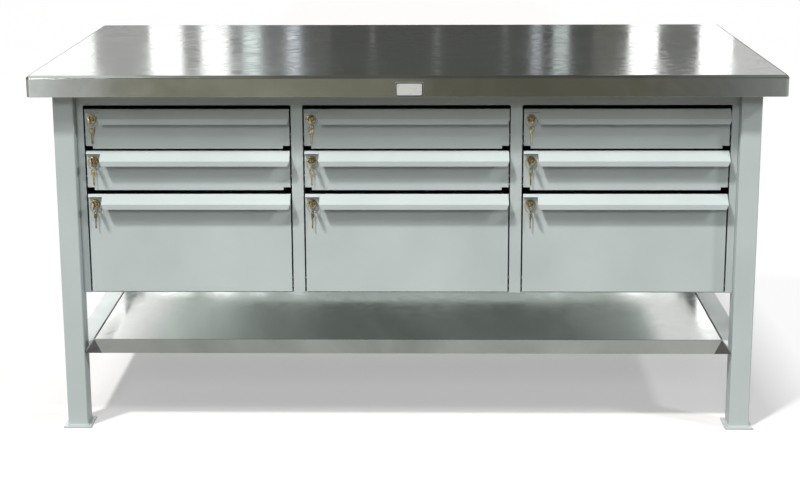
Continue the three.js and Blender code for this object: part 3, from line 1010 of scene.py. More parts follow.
@dataclass
class Stand:
    """Legs, foot plates, cabinet, shelf and rails, with the welds that join them."""

    PAINTED = (
        "apron_left",
        "apron_right",
        "apron_rear",
        "shelf_rail_left",
        "shelf_rail_right",
        "face_frame",
        "cabinet_back",
        "cabinet_bottom",
        "cabinet_side_left",
        "cabinet_side_right",
        "divider_left",
        "divider_right",
    )

    finishes: Finishes
    leg_size: float = 50.8 * MM
    leg_radius: float = 4 * MM
    leg_wall: float = 3.2 * MM
    foot_sheet: float = 4.8 * MM
    foot_corner: float = 1.5 * MM
    foot_round: float = 0.9 * MM
    sheet_round: float = 0.7 * MM
    shelf_round: float = 1.1 * MM
    shelf_end_gap: float = 22.8 * MM
    shelf_sheet: float = 2.5 * MM
    shelf_taper: float = 20 * MM
    shadow_strip_width: float = 4.8 * MM
    shadow_strip_proud: float = 0.15 * MM
    gusset_reach: Point = (0.6 * MM, 5.5 * MM)
    weld_radius: float = 2.4 * MM
    weld_pitch: float = 2.6 * MM
    weld_sink: float = 0.9 * MM

    def build(self, nodes: Nodes, beads: BeadTree) -> None:
        """Builds the stand.

        Args:
            nodes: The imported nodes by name.
            beads: The tree that lays the welds.
        """
        corners = [f"{depth}_{side}" for depth in ("front", "rear") for side in ("left", "right")]
        for corner in corners:
            self.leg(corner)
        for name in self.PAINTED:
            self.skin(nodes, name, self.sheet_round, self.finishes.paint, "paint")
        self.skin(nodes, "shelf", self.shelf_round, self.finishes.stainless, "stainless")
        self.shelf_ends()
        self.welds(corners, beads)

    def skin(self, nodes: Nodes, node: str, softness: float, finish: Material, slot: str) -> None:
        """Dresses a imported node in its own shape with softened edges.

        Args:
            nodes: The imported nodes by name.
            node: The node's name.
            softness: The width of its round edges.
            finish: Its finish.
            slot: The record's material slot.
        """
        piece = Piece(f"{node}_dressed")
        piece.node_skin(nodes[node])
        piece.soften(softness)
        piece.place(finish, "bench", slot, [node])

    def shelf_ends(self) -> None:
        """Lays a dark strip of painted shadow at each end of the shelf, and closes its tapered corners
        with gussets in dark painted shade.
        """
        low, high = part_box("shelf")
        foot_low, foot_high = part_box("leg_front_right")
        half = (foot_low.x + foot_high.x - self.leg_size) / 2 - self.shelf_end_gap
        for side, sign in (("left", -1), ("right", 1)):
            ends = sorted((sign * half, sign * (half - self.shadow_strip_width)))
            # The strip is dark to paint the shadow in the gap between the shelf and the rail
            shadow_strip = Piece(f"shelf_shadow_strip_{side}")
            shadow_strip.box(
                (ends[0], low.y + self.shelf_sheet, high.z - self.shelf_sheet / 2),
                (ends[1], high.y - self.shelf_sheet, high.z + self.shadow_strip_proud),
            )
            shadow_strip.soften(self.shadow_strip_proud / 2)
            shadow_strip.place(self.finishes.painted_shade, "bench", "stainless")
            outline = [
                (sign * (half - self.shelf_sheet), high.z - self.shelf_sheet),
                (sign * (half - self.shelf_taper), low.z),
                (sign * high.x, low.z),
            ]
            # The gussets' dark finish paints the shade in the shelf's corners
            gussets = Piece(f"shelf_gussets_{side}")
            start, stop = self.gusset_reach
            gussets.prism(outline, Plane.XZ, low.y + start, low.y + stop)
            gussets.prism(outline, Plane.XZ, high.y - stop, high.y - start)
            gussets.place(self.finishes.painted_shade, "bench", "stainless")

    def leg(self, corner: str) -> None:
        """Makes one leg as a square tube with round corners, and the plate that it stands on.

        Args:
            corner: The corner of the bench that it stands at.
        """
        node = f"leg_{corner}"
        low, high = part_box(node)
        centre = (low + high) / 2

        def section(size: float, radius: float) -> List[Point]:
            """Gives a square about the leg's middle line."""
            loop = rounded_rectangle((size / 2, size / 2), radius)
            return [(x + centre.x, y + centre.y) for x, y in loop]

        foot_top = low.z + self.foot_sheet
        bore = self.leg_size - 2 * self.leg_wall
        bore_radius = max(self.leg_radius - self.leg_wall, self.foot_round)
        tube = Piece(f"{node}_tube")
        outer = section(self.leg_size, self.leg_radius)
        inner = section(bore, bore_radius)
        tube.pierced(outer, inner, Plane.XY, foot_top - self.foot_round, high.z)
        tube.place(self.finishes.paint, "bench", "paint", [node])
        plate = Piece(f"foot_plate_{corner}")
        plate.prism(section(high.x - low.x, self.foot_corner), Plane.XY, low.z, foot_top)
        plate.soften(self.foot_round)
        plate.place(self.finishes.paint, "bench", "paint")

    def welds(self, corners: Sequence[str], beads: BeadTree) -> None:
        """Lays weld beads round each leg's foot and along the ends of the shelf rails.

        Args:
            corners: The corners that the legs stand at.
            beads: The tree that lays the welds.
        """
        paths: List[Path] = []
        for corner in corners:
            low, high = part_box(f"leg_{corner}")
            centre = (low + high) / 2
            half = self.leg_size / 2 + self.weld_radius - 2 * self.weld_sink
            loop = rounded_rectangle((half, half), self.leg_radius)
            level = low.z + self.foot_sheet + self.weld_radius - 2 * self.weld_sink
            paths.append(([Vector((x + centre.x, y + centre.y, level)) for x, y in loop], True))
        for side in ("left", "right"):
            low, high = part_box(f"shelf_rail_{side}")
            outer = low.x if side == "left" else high.x
            inset = math.copysign(self.leg_radius, -outer)
            inner = outer + math.copysign(self.leg_size, -outer)
            for y in (low.y + self.weld_sink, high.y - self.weld_sink):
                top = high.z + self.weld_radius - 2 * self.weld_sink
                ends = (outer + inset, inner - inset)
                paths.append(([Vector((x, y, top)) for x in ends], False))
        made = beads.grow(
            "weld_beads",
            paths,
            {"Pitch": self.weld_pitch, "Radius": self.weld_radius},
            self.finishes.paint,
        )
        seat(made, "bench")


@dataclass
class Drawer:
    """One drawer: front with its formed pull, tray, slides, lock, key and spare key."""

    finishes: Finishes
    bank: Bank
    row: Row
    axis: Vector
    pull_out: float = 24 * MM
    pull_drop: float = 21 * MM
    pull_lip: float = 13 * MM
    pull_sheet: float = 2 * MM
    pull_bend: float = 3 * MM
    pull_corner: float = 5 * MM
    fold: float = 1.2 * MM
    hem_out: float = 7 * MM
    hem_back: float = 4.8 * MM
    front_sheet: float = 2.5 * MM
    front_inset: float = 3.5 * MM
    notch: Point = (17 * MM, 7 * MM)
    sheet_round: float = 0.6 * MM
    tray_sheet: float = 1.5 * MM
    floor_lift: float = 9 * MM
    rim_drop: float = 10 * MM
    rim_round: float = 0.5 * MM
    slide_width: float = 12 * MM
    slide_height: float = 19.4 * MM
    slide_lift: float = 14 * MM
    slide_start: float = 30 * MM
    slide_lip: float = 4.6 * MM
    slide_groove: float = 5.5 * MM
    ball_radius: float = 2.2 * MM
    ball_pitch: float = 9 * MM
    ball_inset: float = 40 * MM
    slot_ends: Point = (19.1 * MM, 23.5 * MM)
    slot_below: float = 20 * MM
    slot_above: float = 6.2 * MM
    bay_width: float = 18 * MM
    weld: float = 0.5 * MM
    centre: float = field(init=False)
    face: float = field(init=False)
    base: float = field(init=False)
    height: float = field(init=False)
    depth: float = field(init=False)
    half: float = field(init=False)
    slide_half: float = field(init=False)
    tray_half: float = field(init=False)

    def __post_init__(self) -> None:
        """Takes the drawer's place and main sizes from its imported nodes."""
        low, high = self.reach()
        self.centre = (low.x + high.x) / 2
        self.face = low.y + self.pull_out
        self.base = low.z
        self.height = high.z - low.z
        self.depth = high.y - self.face
        self.half = (high.x - low.x) / 2 - self.front_inset
        self.slide_half = (high.x - low.x) / 2
        self.tray_half = self.slide_half - self.slide_width

    @property
    def name(self) -> str:
        """Place of the drawer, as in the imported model's names."""
        return f"{self.bank.value}_{self.row.value}"

    @property
    def body(self) -> str:
        """Body that the drawer's own pieces ride on."""
        return f"drawer_{self.name}"

    def build(self, beads: BeadTree, wires: WireTree) -> None:
        """Builds every piece of the drawer.

        Args:
            beads: The tree that sets the slides' balls.
            wires: The tree that draws the spare key's ring.
        """
        self.front()
        self.tray()
        self.slides(beads)
        LockSet(self.finishes, self.name, self.axis, SPARE_TURN[self.row]).build(wires)

    @property
    def own_tray(self) -> List[str]:
        """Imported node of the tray, where the drawer has one beside its front's."""
        return [f"tray_{self.name}"] if self.row is Row.LOWER else []

    def reach(self) -> Tuple[Vector, Vector]:
        """Measures the drawer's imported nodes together.

        Returns:
            The lowest and the highest corner.
        """
        boxes = [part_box(node) for node in [self.body, *self.own_tray]]
        low = Vector([min(box[0][axis] for box in boxes) for axis in range(3)])
        high = Vector([max(box[1][axis] for box in boxes) for axis in range(3)])
        return low, high

    def at(self, x: float, y: float, z: float) -> Place:
        """Gives the place of a point measured from the middle of the front's lower edge."""
        return (self.centre + x, self.face + y, self.base + z)

    def front(self) -> None:
        """Makes the front sheet, its hem over the lock and its pull as one piece."""
        piece = Piece(f"front_{self.name}")
        half, height = self.half, self.height
        notch_x, notch_z = self.notch
        foot: List[Point] = [(-half, 0.0), (half, 0.0)]
        if self.row is not Row.LOWER:
            foot = [(-half, notch_z), (-half + notch_x, notch_z), (-half + notch_x, 0.0)]
            foot += [(-x, z) for x, z in reversed(foot)]
        outline = [*foot, (half, height - self.fold), (-half, height - self.fold)]
        placed = [(self.centre + x, self.base + z) for x, z in outline]
        piece.prism(placed, Plane.XZ, self.face, self.face + self.front_sheet)
        piece.soften(self.sheet_round)
        bay = self.axis.x - self.centre + self.bay_width
        self.bent(piece, self.pull_line(self.hem_out, 0.0), -half, bay + self.weld, 0.0)
        self.bent(piece, self.pull_line(self.pull_out, self.pull_lip), bay, half, self.pull_corner)
        piece.place(self.finishes.paint, self.body, "paint", [self.body])

    def pull_line(self, out: float, lip: float) -> List[Point]:
        """Gives the outer line of the sheet folded over the front's top edge.

        Args:
            out: How far the slope comes out from the face.
            lip: Length of the lip that hangs from the slope, or 0 for none.

        Returns:
            The line from the back of the front over its top and down.
        """
        drop = self.pull_drop * out / self.pull_out
        corners: List[Point] = [
            (self.front_sheet, self.height - self.hem_back),
            (self.front_sheet, self.height),
            (0.0, self.height),
            (-out, self.height - drop),
        ]
        radii = [self.fold, self.fold]
        if lip:
            corners.append((-out, self.height - drop - lip))
            radii.append(self.pull_bend)
        return rounded_line(corners, radii)

    def bent(
        self,
        piece: Piece,
        line: Sequence[Point],
        start: float,
        stop: float,
        corner: float,
    ) -> None:
        """Draws a bent sheet out along X and slants its lip's ends.

        Args:
            piece: The piece that the sheet is added to.
            line: The sheet's outer line.
            start: Where it starts, from the drawer's middle.
            stop: Where it stops.
            corner: How far the lip's ends slant in.
        """
        section = bent_sheet(line, self.pull_sheet)
        placed = [(self.face + y, self.base + z) for y, z in section]
        verts = piece.prism(placed, Plane.YZ, self.centre + start, self.centre + stop)
        foot = min(vert.co.z for vert in verts)
        middle = self.centre + (start + stop) / 2
        for vert in verts:
            if vert.co.z < foot + corner:
                shift = corner - (vert.co.z - foot)
                vert.co.x += math.copysign(shift, middle - vert.co.x)

    def tray(self) -> None:
        """Makes the open tray behind the front, with the slot that the lock's cam sweeps."""
        piece = Piece(f"tray_shell_{self.name}")
        start = self.front_sheet - self.weld
        floor = self.floor_lift
        rim = self.height - self.rim_drop
        half = self.tray_half
        wall = half - self.tray_sheet
        lock_z = self.axis.z - self.base
        slot_front, slot_back = self.slot_ends
        slot_low = lock_z - self.slot_below
        slot_high = min(lock_z + self.slot_above, rim)
        blocks = [
            ((-half, start, floor), (half, self.depth, floor + self.tray_sheet)),
            ((wall, start, floor), (half, self.depth, rim)),
            ((-half, self.depth - self.tray_sheet, floor), (half, self.depth, rim)),
            ((-half, start, floor), (-wall, slot_front, rim)),
            ((-half, slot_back, floor), (-wall, self.depth, rim)),
            ((-half, slot_front, floor), (-wall, slot_back, slot_low)),
        ]
        if rim > slot_high:
            blocks.append(((-half, slot_front, slot_high), (-wall, slot_back, rim)))
        for low, high in blocks:
            piece.box(self.at(*low), self.at(*high))
        piece.soften(self.rim_round, 1)
        piece.place(self.finishes.paint, self.body, "paint", self.own_tray)

    def slides(self, beads: BeadTree) -> None:
        """Makes the two grooved slide members and the balls that run in them.

        Args:
            beads: The tree that sets the balls.
        """
        piece = Piece(f"slides_{self.name}")
        rows: List[Path] = []
        ends = (self.slide_start + self.ball_inset, self.depth - self.ball_inset)
        edge = self.slide_lip + self.ball_radius
        for sign in (-1, 1):
            root = sign * (self.tray_half - self.weld)
            tip = sign * self.slide_half
            groove = sign * (self.slide_half - self.slide_groove)
            low, high = self.slide_lift, self.slide_lift + self.slide_height
            section = [
                (root, low),
                (tip, low),
                (tip, low + self.slide_lip),
                (groove, low + self.slide_lip),
                (groove, high - self.slide_lip),
                (tip, high - self.slide_lip),
                (tip, high),
                (root, high),
            ]
            placed = [(self.centre + x, self.base + z) for x, z in section]
            piece.prism(placed, Plane.XZ, self.face + self.slide_start, self.face + self.depth)
            race = groove + sign * self.ball_radius
            for z in (low + edge, high - edge):
                rows.append(([Vector(self.at(race, y, z)) for y in ends], False))
        piece.soften(self.sheet_round)
        piece.place(self.finishes.zinc, self.body, "stainless")
        balls = beads.grow(
            f"slide_balls_{self.name}",
            rows,
            {"Pitch": self.ball_pitch, "Radius": self.ball_radius},
            self.finishes.zinc,
        )
        seat(balls, self.body)


@dataclass
class LockSet:
    """Cylinder lock with its key, and a spare key on a ring round the lock's neck."""

    finishes: Finishes
    place: str
    axis: Vector
    spare_turn: float
    plug: float = 5 * MM
    bore: float = 5.3 * MM
    barrel: float = 7 * MM
    barrel_length: float = 20 * MM
    bezel: float = 10.5 * MM
    bezel_depth: float = 5 * MM
    bezel_round: float = 1.6 * MM
    bezel_step: float = 0.48 * MM
    neck: float = 3 * MM
    plug_sunk: float = 1.4 * MM
    dish_depth: float = 2.2 * MM
    cam_reach: float = 17.8 * MM
    cam_width: float = 10 * MM
    cam_corner: float = 3 * MM
    cam_sheet: float = 2 * MM
    cam_gap: float = 0.3 * MM
    key_sheet: float = 2.2 * MM
    key_shank: Point = (8 * MM, 8 * MM)
    key_bow: float = 11 * MM
    key_eye: float = 3 * MM
    key_eye_edge: float = 2.5 * MM
    key_round: float = 0.35 * MM
    key_sides: int = 32
    ring_radius: float = 14.3 * MM
    ring_wire: float = 0.6 * MM
    ring_seat: float = 0.84 * MM
    ring_lean: float = 1.6 * MM
    ring_steps: int = 40
    spare_out: float = 7.5 * MM
    spare_sheet: float = 1.6 * MM
    spare_bow: Point = (6.5 * MM, 10.5 * MM)
    spare_eye: float = 2.6 * MM
    spare_blade: Point = (5 * MM, 26 * MM)
    spare_tooth: float = 1.4 * MM
    spare_teeth: int = 4

    def build(self, wires: WireTree) -> None:
        """Builds the lock, the key and the spare key.

        Args:
            wires: The tree that draws the spare key's ring.
        """
        self.lock()
        self.key()
        self.spare(wires)

    def lock(self) -> None:
        """Turns the lock body with a rounded, dished bezel."""
        front = -self.neck - self.bezel_depth
        dish = self.bezel - 2 * self.bezel_round
        profile = [
            (self.bore, front + self.dish_depth),
            (dish - self.bezel_round / 2, front + self.dish_depth),
            (dish, front + self.bezel_step),
            (dish + self.bezel_step, front),
            (self.bezel - self.bezel_round, front),
            (self.bezel - self.bezel_step, front + self.bezel_step),
            (self.bezel, front + self.bezel_round),
            (self.bezel, -self.neck),
            (self.barrel, -self.neck),
            (self.barrel, self.barrel_length),
            (self.bore, self.barrel_length),
        ]
        piece = Piece(f"lock_body_{self.place}")
        piece.turned(profile, self.axis)
        piece.place(self.finishes.brass, f"drawer_{self.place}", "brass", [f"lock_{self.place}"])

    def key(self) -> None:
        """Makes the plug, the key that stands in it and the cam on its tail."""
        piece = Piece(f"key_and_plug_{self.place}")
        x, y, z = self.axis
        plug_front = -self.neck - self.bezel_depth + self.plug_sunk
        cam_front = self.barrel_length + self.cam_gap
        cam_half = self.cam_width / 2
        length, height = self.key_shank
        thick = self.key_sheet / 2
        bow_y = plug_front - length - self.key_bow
        eye_y = bow_y - self.key_bow + self.key_eye_edge + self.key_eye
        bow = circle((y + bow_y, z), self.key_bow, self.key_sides)
        eye = circle((y + eye_y, z), self.key_eye, self.key_sides)
        piece.pierced(bow, eye, Plane.YZ, x - thick, x + thick)
        shank_back = bow_y + self.key_bow - self.key_eye_edge
        half = height / 2
        piece.box((x - thick, y + shank_back, z - half), (x + thick, y + plug_front, z + half))
        cam = rounded_rectangle((cam_half, (self.cam_reach + cam_half) / 2), self.cam_corner)
        cam_z = z + (cam_half - self.cam_reach) / 2
        placed = [(x + u, cam_z + v) for u, v in cam]
        piece.prism(placed, Plane.XZ, y + cam_front, y + cam_front + self.cam_sheet)
        piece.soften(self.key_round)
        edge = self.plug - self.key_round
        profile = [
            (0.0, plug_front),
            (edge, plug_front),
            (self.plug, plug_front + self.key_round),
            (self.plug, cam_front),
            (0.0, cam_front),
        ]
        piece.turned(profile, self.axis, self.key_sides)
        body = f"key_{self.place}"
        piece.place(self.finishes.nickel, body, "key_steel", [body])

    def spare(self, wires: WireTree) -> None:
        """Makes the spare key and the wire ring that it hangs on.

        Args:
            wires: The tree that draws the ring.
        """
        body = f"spare_key_{self.place}"
        x, y, z = self.axis
        ring_z = z + self.barrel + self.ring_seat - self.ring_radius
        bow_top = ring_z - self.ring_radius + self.spare_eye
        bow_z = bow_top - self.spare_bow[1]
        front = y - self.spare_out - self.spare_sheet / 2
        back = front + self.spare_sheet
        piece = Piece(f"spare_blade_{self.place}")
        bow = ellipse((x, bow_z), self.spare_bow, self.key_sides)
        eye = circle((x, bow_top - 2 * self.spare_eye), self.spare_eye, self.key_sides)
        piece.pierced(bow, eye, Plane.XZ, front, back)
        blade = self.blade(x, bow_z - self.spare_bow[1] + self.spare_tooth)
        piece.prism(blade, Plane.XZ, front, back)
        piece.soften(self.key_round)
        turn = Matrix.Rotation(math.radians(self.spare_turn), 3, "Z")
        middle = (x, y - self.spare_out, 0.0)
        bmesh.ops.rotate(piece.mesh, cent=middle, matrix=turn, verts=piece.mesh.verts)
        piece.place(self.finishes.pale_brass, body, "brass", [body])
        ring = wires.grow(
            f"spare_ring_{self.place}",
            [(self.ring_line(ring_z), True)],
            {"Radius": self.ring_wire},
            self.finishes.nickel,
        )
        seat(ring, body)

    def ring_line(self, middle: float) -> List[Vector]:
        """Gives the ring's line, which leans out from the lock's neck to the spare key.

        Args:
            middle: The height of the ring's middle.

        Returns:
            The closed line's points.
        """
        line = []
        for step in range(self.ring_steps):
            turn = 2 * math.pi * step / self.ring_steps
            share = (1 - math.cos(turn)) / 2
            out = self.neck / 2 + (self.spare_out - self.neck / 2) * share
            lean = self.ring_lean * share * math.sin(turn)
            x = self.axis.x + self.ring_radius * math.sin(turn)
            z = middle + self.ring_radius * math.cos(turn)
            line.append(Vector((x, self.axis.y - out - lean, z)))
        return line

    def blade(self, x: float, top: float) -> List[Point]:
        """Gives the spare key's blade with its cuts.

        Args:
            x: The blade's middle line.
            top: Where the blade leaves the bow.

        Returns:
            The closed outline.
        """
        width, length = self.spare_blade
        half = width / 2
        tip = top - length
        pitch = length / (self.spare_teeth + 2)
        outline = [(x - half, top), (x - half, tip + half), (x, tip), (x + half, tip + half)]
        for tooth in range(self.spare_teeth):
            start = tip + (tooth + 1) * pitch
            outline += [(x + half, start), (x + half - self.spare_tooth, start + pitch / 2)]
        outline.append((x + half, top))
        return outline


# Studio


@dataclass(frozen=True)
class PhotoCamera:
    """Camera fitted to the photograph's view."""

    place: Place = (0.0461, -4.0314, 1.5197)
    focal_pixels: float = 1519.0
    middle_row: float = 131.3
    image: Tuple[int, int] = (800, 490)
    pitch: float = 0.2043
    yaw: float = -0.0170
    roll: float = -0.0040
    sensor: float = 36.0
    farthest: float = 200.0

    def build(self) -> None:
        """Makes the camera and gives it to the scene."""
        ahead = Vector((
            math.sin(self.yaw) * math.cos(self.pitch),
            math.cos(self.yaw) * math.cos(self.pitch),
            -math.sin(self.pitch),
        ))
        level = Vector((math.cos(self.yaw), -math.sin(self.yaw), 0.0))
        upright = level.cross(ahead)
        right = math.cos(self.roll) * level + math.sin(self.roll) * upright
        up = -math.sin(self.roll) * level + math.cos(self.roll) * upright
        data = bpy.data.cameras.new("photo_camera")
        width, height = self.image
        data.sensor_width = self.sensor
        data.lens = self.focal_pixels / width * self.sensor
        data.shift_y = (self.middle_row - height / 2) / width
        data.clip_end = self.farthest
        camera = bpy.data.objects.new("photo_camera", data)
        turn = Matrix((right, up, -ahead)).transposed().to_4x4()
        camera.matrix_world = Matrix.Translation(self.place) @ turn
        bpy.context.scene.collection.objects.link(camera)
        bpy.context.scene.camera = camera


WHITE: Tint = (1.0, 1.0, 1.0)
GREEN_GREY: Tint = (0.90, 1.0, 0.95)
SEA_GREY: Tint = (0.90, 1.0, 0.99)
LAVENDER: Tint = (0.88, 0.93, 1.0)
OLIVE: Tint = (1.0, 0.96, 0.76)


def glow(level: float, tint: Tint = WHITE) -> Color:
    """Gives the colour of a lit surface from its level and its tint."""
    return (level * tint[0], level * tint[1], level * tint[2], 1.0)


def even(level: float) -> Tones:
    """Gives the tones of a card that is lit alike all over."""
    return ((0.0, glow(level)), (1.0, glow(level)))


def upright(half: float, y: float, top: float) -> List[Place]:
    """Gives the corners of a card that stands on the floor."""
    return [(-half, y, 0.0), (half, y, 0.0), (half, y, top), (-half, y, top)]


def flat(reach: Reach, z: float) -> List[Place]:
    """Gives the corners of a card that lies level; its reach is left, right, near and far."""
    left, right, near, far = reach
    return [(left, near, z), (right, near, z), (right, far, z), (left, far, z)]


@dataclass(frozen=True)
class Sun:
    """Far light: its strength, the way its light travels, its size in degrees and its colour."""

    name: str
    strength: float
    travel: Place
    spread: float
    tint: Tint = WHITE


@dataclass(frozen=True)
class SoftBox:
    """Lit rectangle near the bench, aimed at one point of it."""

    name: str
    place: Place
    aim: Place
    size: Point
    radiance: float


@dataclass(frozen=True)
class Panel:
    """Upright lit panel behind the bench: its left and right ends, brightness and tint."""

    span: Point
    radiance: float
    tint: Tint = WHITE


@dataclass(frozen=True)
class Card:
    """Card that only reflections show, lit in tones at shares of a span along X."""

    name: str
    corners: Sequence[Place]
    span: Point
    tones: Tones


@dataclass(frozen=True)
class Studio:
    """Pale floor under a key light from the front left, with fill lights and cards to reflect.

    The cards and the panels stand round the bench and over it, so that the stainless top, the
    shelf and the brass show bright and dark bands from every side.
    """

    floor_half: float = 60.0
    floor_color: Color = (0.74, 0.74, 0.74, 1.0)
    floor_worn: Color = (0.7326, 0.7326, 0.7326, 1.0)
    floor_patch: float = 0.8
    floor_band: Point = (0.3, 0.7)
    floor_roughness: float = 0.9
    floor_specular: float = 0.1
    floor_glow: Point = (0.34, 0.90)
    glow_reach: Point = (0.93, 1.12)
    bounce_color: Color = (0.19, 0.19, 0.19, 1.0)
    world_color: Color = (0.125, 0.129, 0.123, 1.0)
    suns: Tuple[Sun, ...] = (
        Sun("key_light", 3.4, travel=(0.90, 1.0, -2.00), spread=5.0, tint=(1.0, 0.965, 0.95)),
        Sun("front_light", 0.80, travel=(0.15, 1.0, -0.55), spread=14.0),
        Sun("right_light", 1.30, travel=(-2.1, 1.0, -1.5), spread=5.0),
    )
    soft_box: SoftBox = SoftBox(
        "soft_box", place=(-0.6, -2.4, 3.4), aim=(0.0, -0.4, 0.55), size=(2.6, 1.8), radiance=1.2
    )
    spark: SoftBox = SoftBox(
        "spark_light", place=(-2.2, -4.0, 3.2), aim=(0.0, -0.4, 0.7), size=(0.5, 0.5), radiance=30.0
    )
    cards: Tuple[Card, ...] = (
        Card(
            "shaded_card",
            upright(half=3.0, y=-2.5, top=2.0),
            span=(-1.6, 1.6),
            tones=(
                (0.05, glow(2.1)),
                (0.10, glow(1.05)),
                (0.17, glow(0.70, OLIVE)),
                (0.45, glow(0.55, OLIVE)),
                (0.52, glow(0.32, OLIVE)),
                (0.80, glow(0.32, OLIVE)),
                (0.87, glow(0.43)),
                (0.92, glow(0.72)),
            ),
        ),
        Card("dark_skirt", upright(half=8.0, y=4.9, top=1.40), span=(-8.0, 8.0), tones=even(0.04)),
        Card(
            "haze_card",
            flat((-0.81, 0.81, -0.37, 0.232), z=0.346),
            span=(-0.85, 0.85),
            tones=(
                (0.010, glow(2.5)),
                (0.080, glow(1.5)),
                (0.110, glow(1.3, GREEN_GREY)),
                (0.240, glow(0.56, GREEN_GREY)),
                (0.360, glow(0.30, GREEN_GREY)),
                (0.760, glow(0.30, GREEN_GREY)),
                (0.860, glow(0.55, GREEN_GREY)),
                (0.885, glow(0.74, GREEN_GREY)),
                (0.910, glow(1.5)),
            ),
        ),
        Card(
            "rear_haze_card",
            flat((-0.81, 0.81, 0.232, 0.285), z=0.346),
            span=(-0.85, 0.85),
            tones=(
                (0.030, glow(1.9)),
                (0.085, glow(0.90, GREEN_GREY)),
                (0.140, glow(1.05, GREEN_GREY)),
                (0.790, glow(1.05, GREEN_GREY)),
                (0.840, glow(0.75, GREEN_GREY)),
                (0.900, glow(1.5)),
            ),
        ),
        Card(
            "rim_card",
            flat((-2.6, 2.6, -2.2, 0.9), z=3.0),
            span=(-1.7, 1.7),
            tones=(
                (0.10, glow(2.6)),
                (0.18, glow(1.7)),
                (0.24, glow(0.70)),
                (0.34, glow(0.22)),
                (0.78, glow(0.12)),
                (0.88, glow(0.60)),
            ),
        ),
        Card(
            "roof_card",
            flat((-7.0, 7.0, -7.0, 7.0), z=6.0),
            span=(-7.0, 7.0),
            tones=((0.0, glow(0.30)), (1.0, glow(0.36))),
        ),
    )
    side_x: float = 6.5
    side_reach: Point = (1.0, 5.6)
    side_bands: Tuple[Tuple[Point, float], ...] = (
        ((-4.4, -2.2), 0.50),
        ((-2.2, -1.5), 1.10),
        ((-1.5, 0.4), 0.30),
        ((0.4, 0.9), 1.30),
        ((0.9, 4.4), 0.42),
    )
    strip_y: float = 5.0
    strip_reach: Point = (1.42, 5.6)
    strips: Tuple[Panel, ...] = (
        Panel((-5.0, -1.945), 1.9),
        Panel((-1.945, -1.61), 0.50),
        Panel((-1.61, -1.415), 2.2),
        Panel((-1.415, -1.30), 0.36),
        Panel((-1.30, -1.137), 2.2),
        Panel((-1.137, -1.045), 0.17),
        Panel((-1.045, -0.945), 1.3, SEA_GREY),
        Panel((-0.945, -0.782), 0.13),
        Panel((-0.782, -0.708), 1.05, LAVENDER),
        Panel((-0.708, -0.52), 0.05),
        Panel((-0.285, -0.255), 0.10),
        Panel((0.10, 0.13), 0.16),
        Panel((0.51, 0.54), 0.10),
        Panel((0.682, 0.742), 0.52, LAVENDER),
        Panel((0.815, 0.905), 0.70, SEA_GREY),
        Panel((1.05, 1.266), 0.08, OLIVE),
        Panel((1.266, 1.44), 2.2),
        Panel((1.44, 1.683), 0.13),
        Panel((1.683, 1.89), 2.2),
        Panel((1.90, 3.2), 0.8),
    )
    board_y: float = 1.2
    board_reach: Point = (0.30, 0.75)
    boards: Tuple[Panel, ...] = (
        Panel((-2.4, -1.0), 2.1),
        Panel((-1.0, -0.86), 1.4),
        Panel((-0.86, 0.56), 0.78, GREEN_GREY),
        Panel((0.56, 0.88), 0.9, GREEN_GREY),
        Panel((0.88, 2.3), 1.5),
    )

    def build(self) -> None:
        """Builds the floor, the cards, the world and the lights."""
        self.floor()
        for card in self.cards:
            self.card(card)
        for side, x in (("left", -self.side_x), ("right", self.side_x)):
            self.side_cards(side, x)
        world = bpy.data.worlds.new("Studio air")
        world.use_nodes = True
        air = world.node_tree.nodes["Background"]
        air.inputs["Color"].default_value = self.world_color
        bpy.context.scene.world = world
        for sun in self.suns:
            self.sun(sun)
        soft_box = self.aimed(self.soft_box)
        soft_box.visible_glossy = False
        spark = self.aimed(self.spark)
        spark.visible_diffuse = False
        for index, panel in enumerate(self.strips):
            self.panel(f"strip_light_{index}", panel, self.strip_y, self.strip_reach)
        for index, panel in enumerate(self.boards):
            self.panel(f"low_board_{index}", panel, self.board_y, self.board_reach)

    def floor(self) -> None:
        """Lays the pale floor; it glows for the camera and in reflections, keeps the shadows under the
        bench and mostly paints them out past its ends.
        """
        shader = Shader("Pale floor")
        tone = shader.ramp(shader.noise(self.floor_patch, detail=2.0), self.floor_band)
        shader.feed("Base Color", shader.mix(tone, self.floor_worn, self.floor_color))
        shader.fix(Roughness=self.floor_roughness, Specular_IOR_Level=self.floor_specular)
        path = shader.node("ShaderNodeLightPath", {}).outputs
        mirrored = shader.arithmetic("MAXIMUM", path["Is Glossy Ray"], path["Is Transmission Ray"])
        seen = shader.arithmetic("MAXIMUM", path["Is Camera Ray"], mirrored)
        axes = shader.node("ShaderNodeSeparateXYZ", {"Vector": shader.place})
        # Past the bench's ends the floor glows more, which paints out most of the bench's shadow there
        aside = shader.arithmetic("ABSOLUTE", axes.outputs["X"])
        share = shader.ramp(aside, self.glow_reach, self.floor_glow)
        shine = shader.node("ShaderNodeEmission", {})
        look = shader.blend(share, shader.surface.outputs["BSDF"], shine.outputs["Emission"])
        bounce = shader.node("ShaderNodeBsdfDiffuse", {}, Color=self.bounce_color)
        shader.show(shader.blend(seen, bounce.outputs["BSDF"], look))
        half = self.floor_half
        self.sheet("studio_floor", flat((-half, half, -half, half), z=0.0), shader.material)

    def side_cards(self, side: str, x: float) -> None:
        """Stands lit cards beside the bench for the top to show from its ends.

        Args:
            side: The side's name.
            x: Where the cards stand.
        """
        low, high = self.side_reach
        for index, ((near, far), level) in enumerate(self.side_bands):
            corners = [(x, near, low), (x, far, low), (x, far, high), (x, near, high)]
            self.card(Card(f"{side}_card_{index}", corners, (x - 1.0, x + 1.0), even(level)))

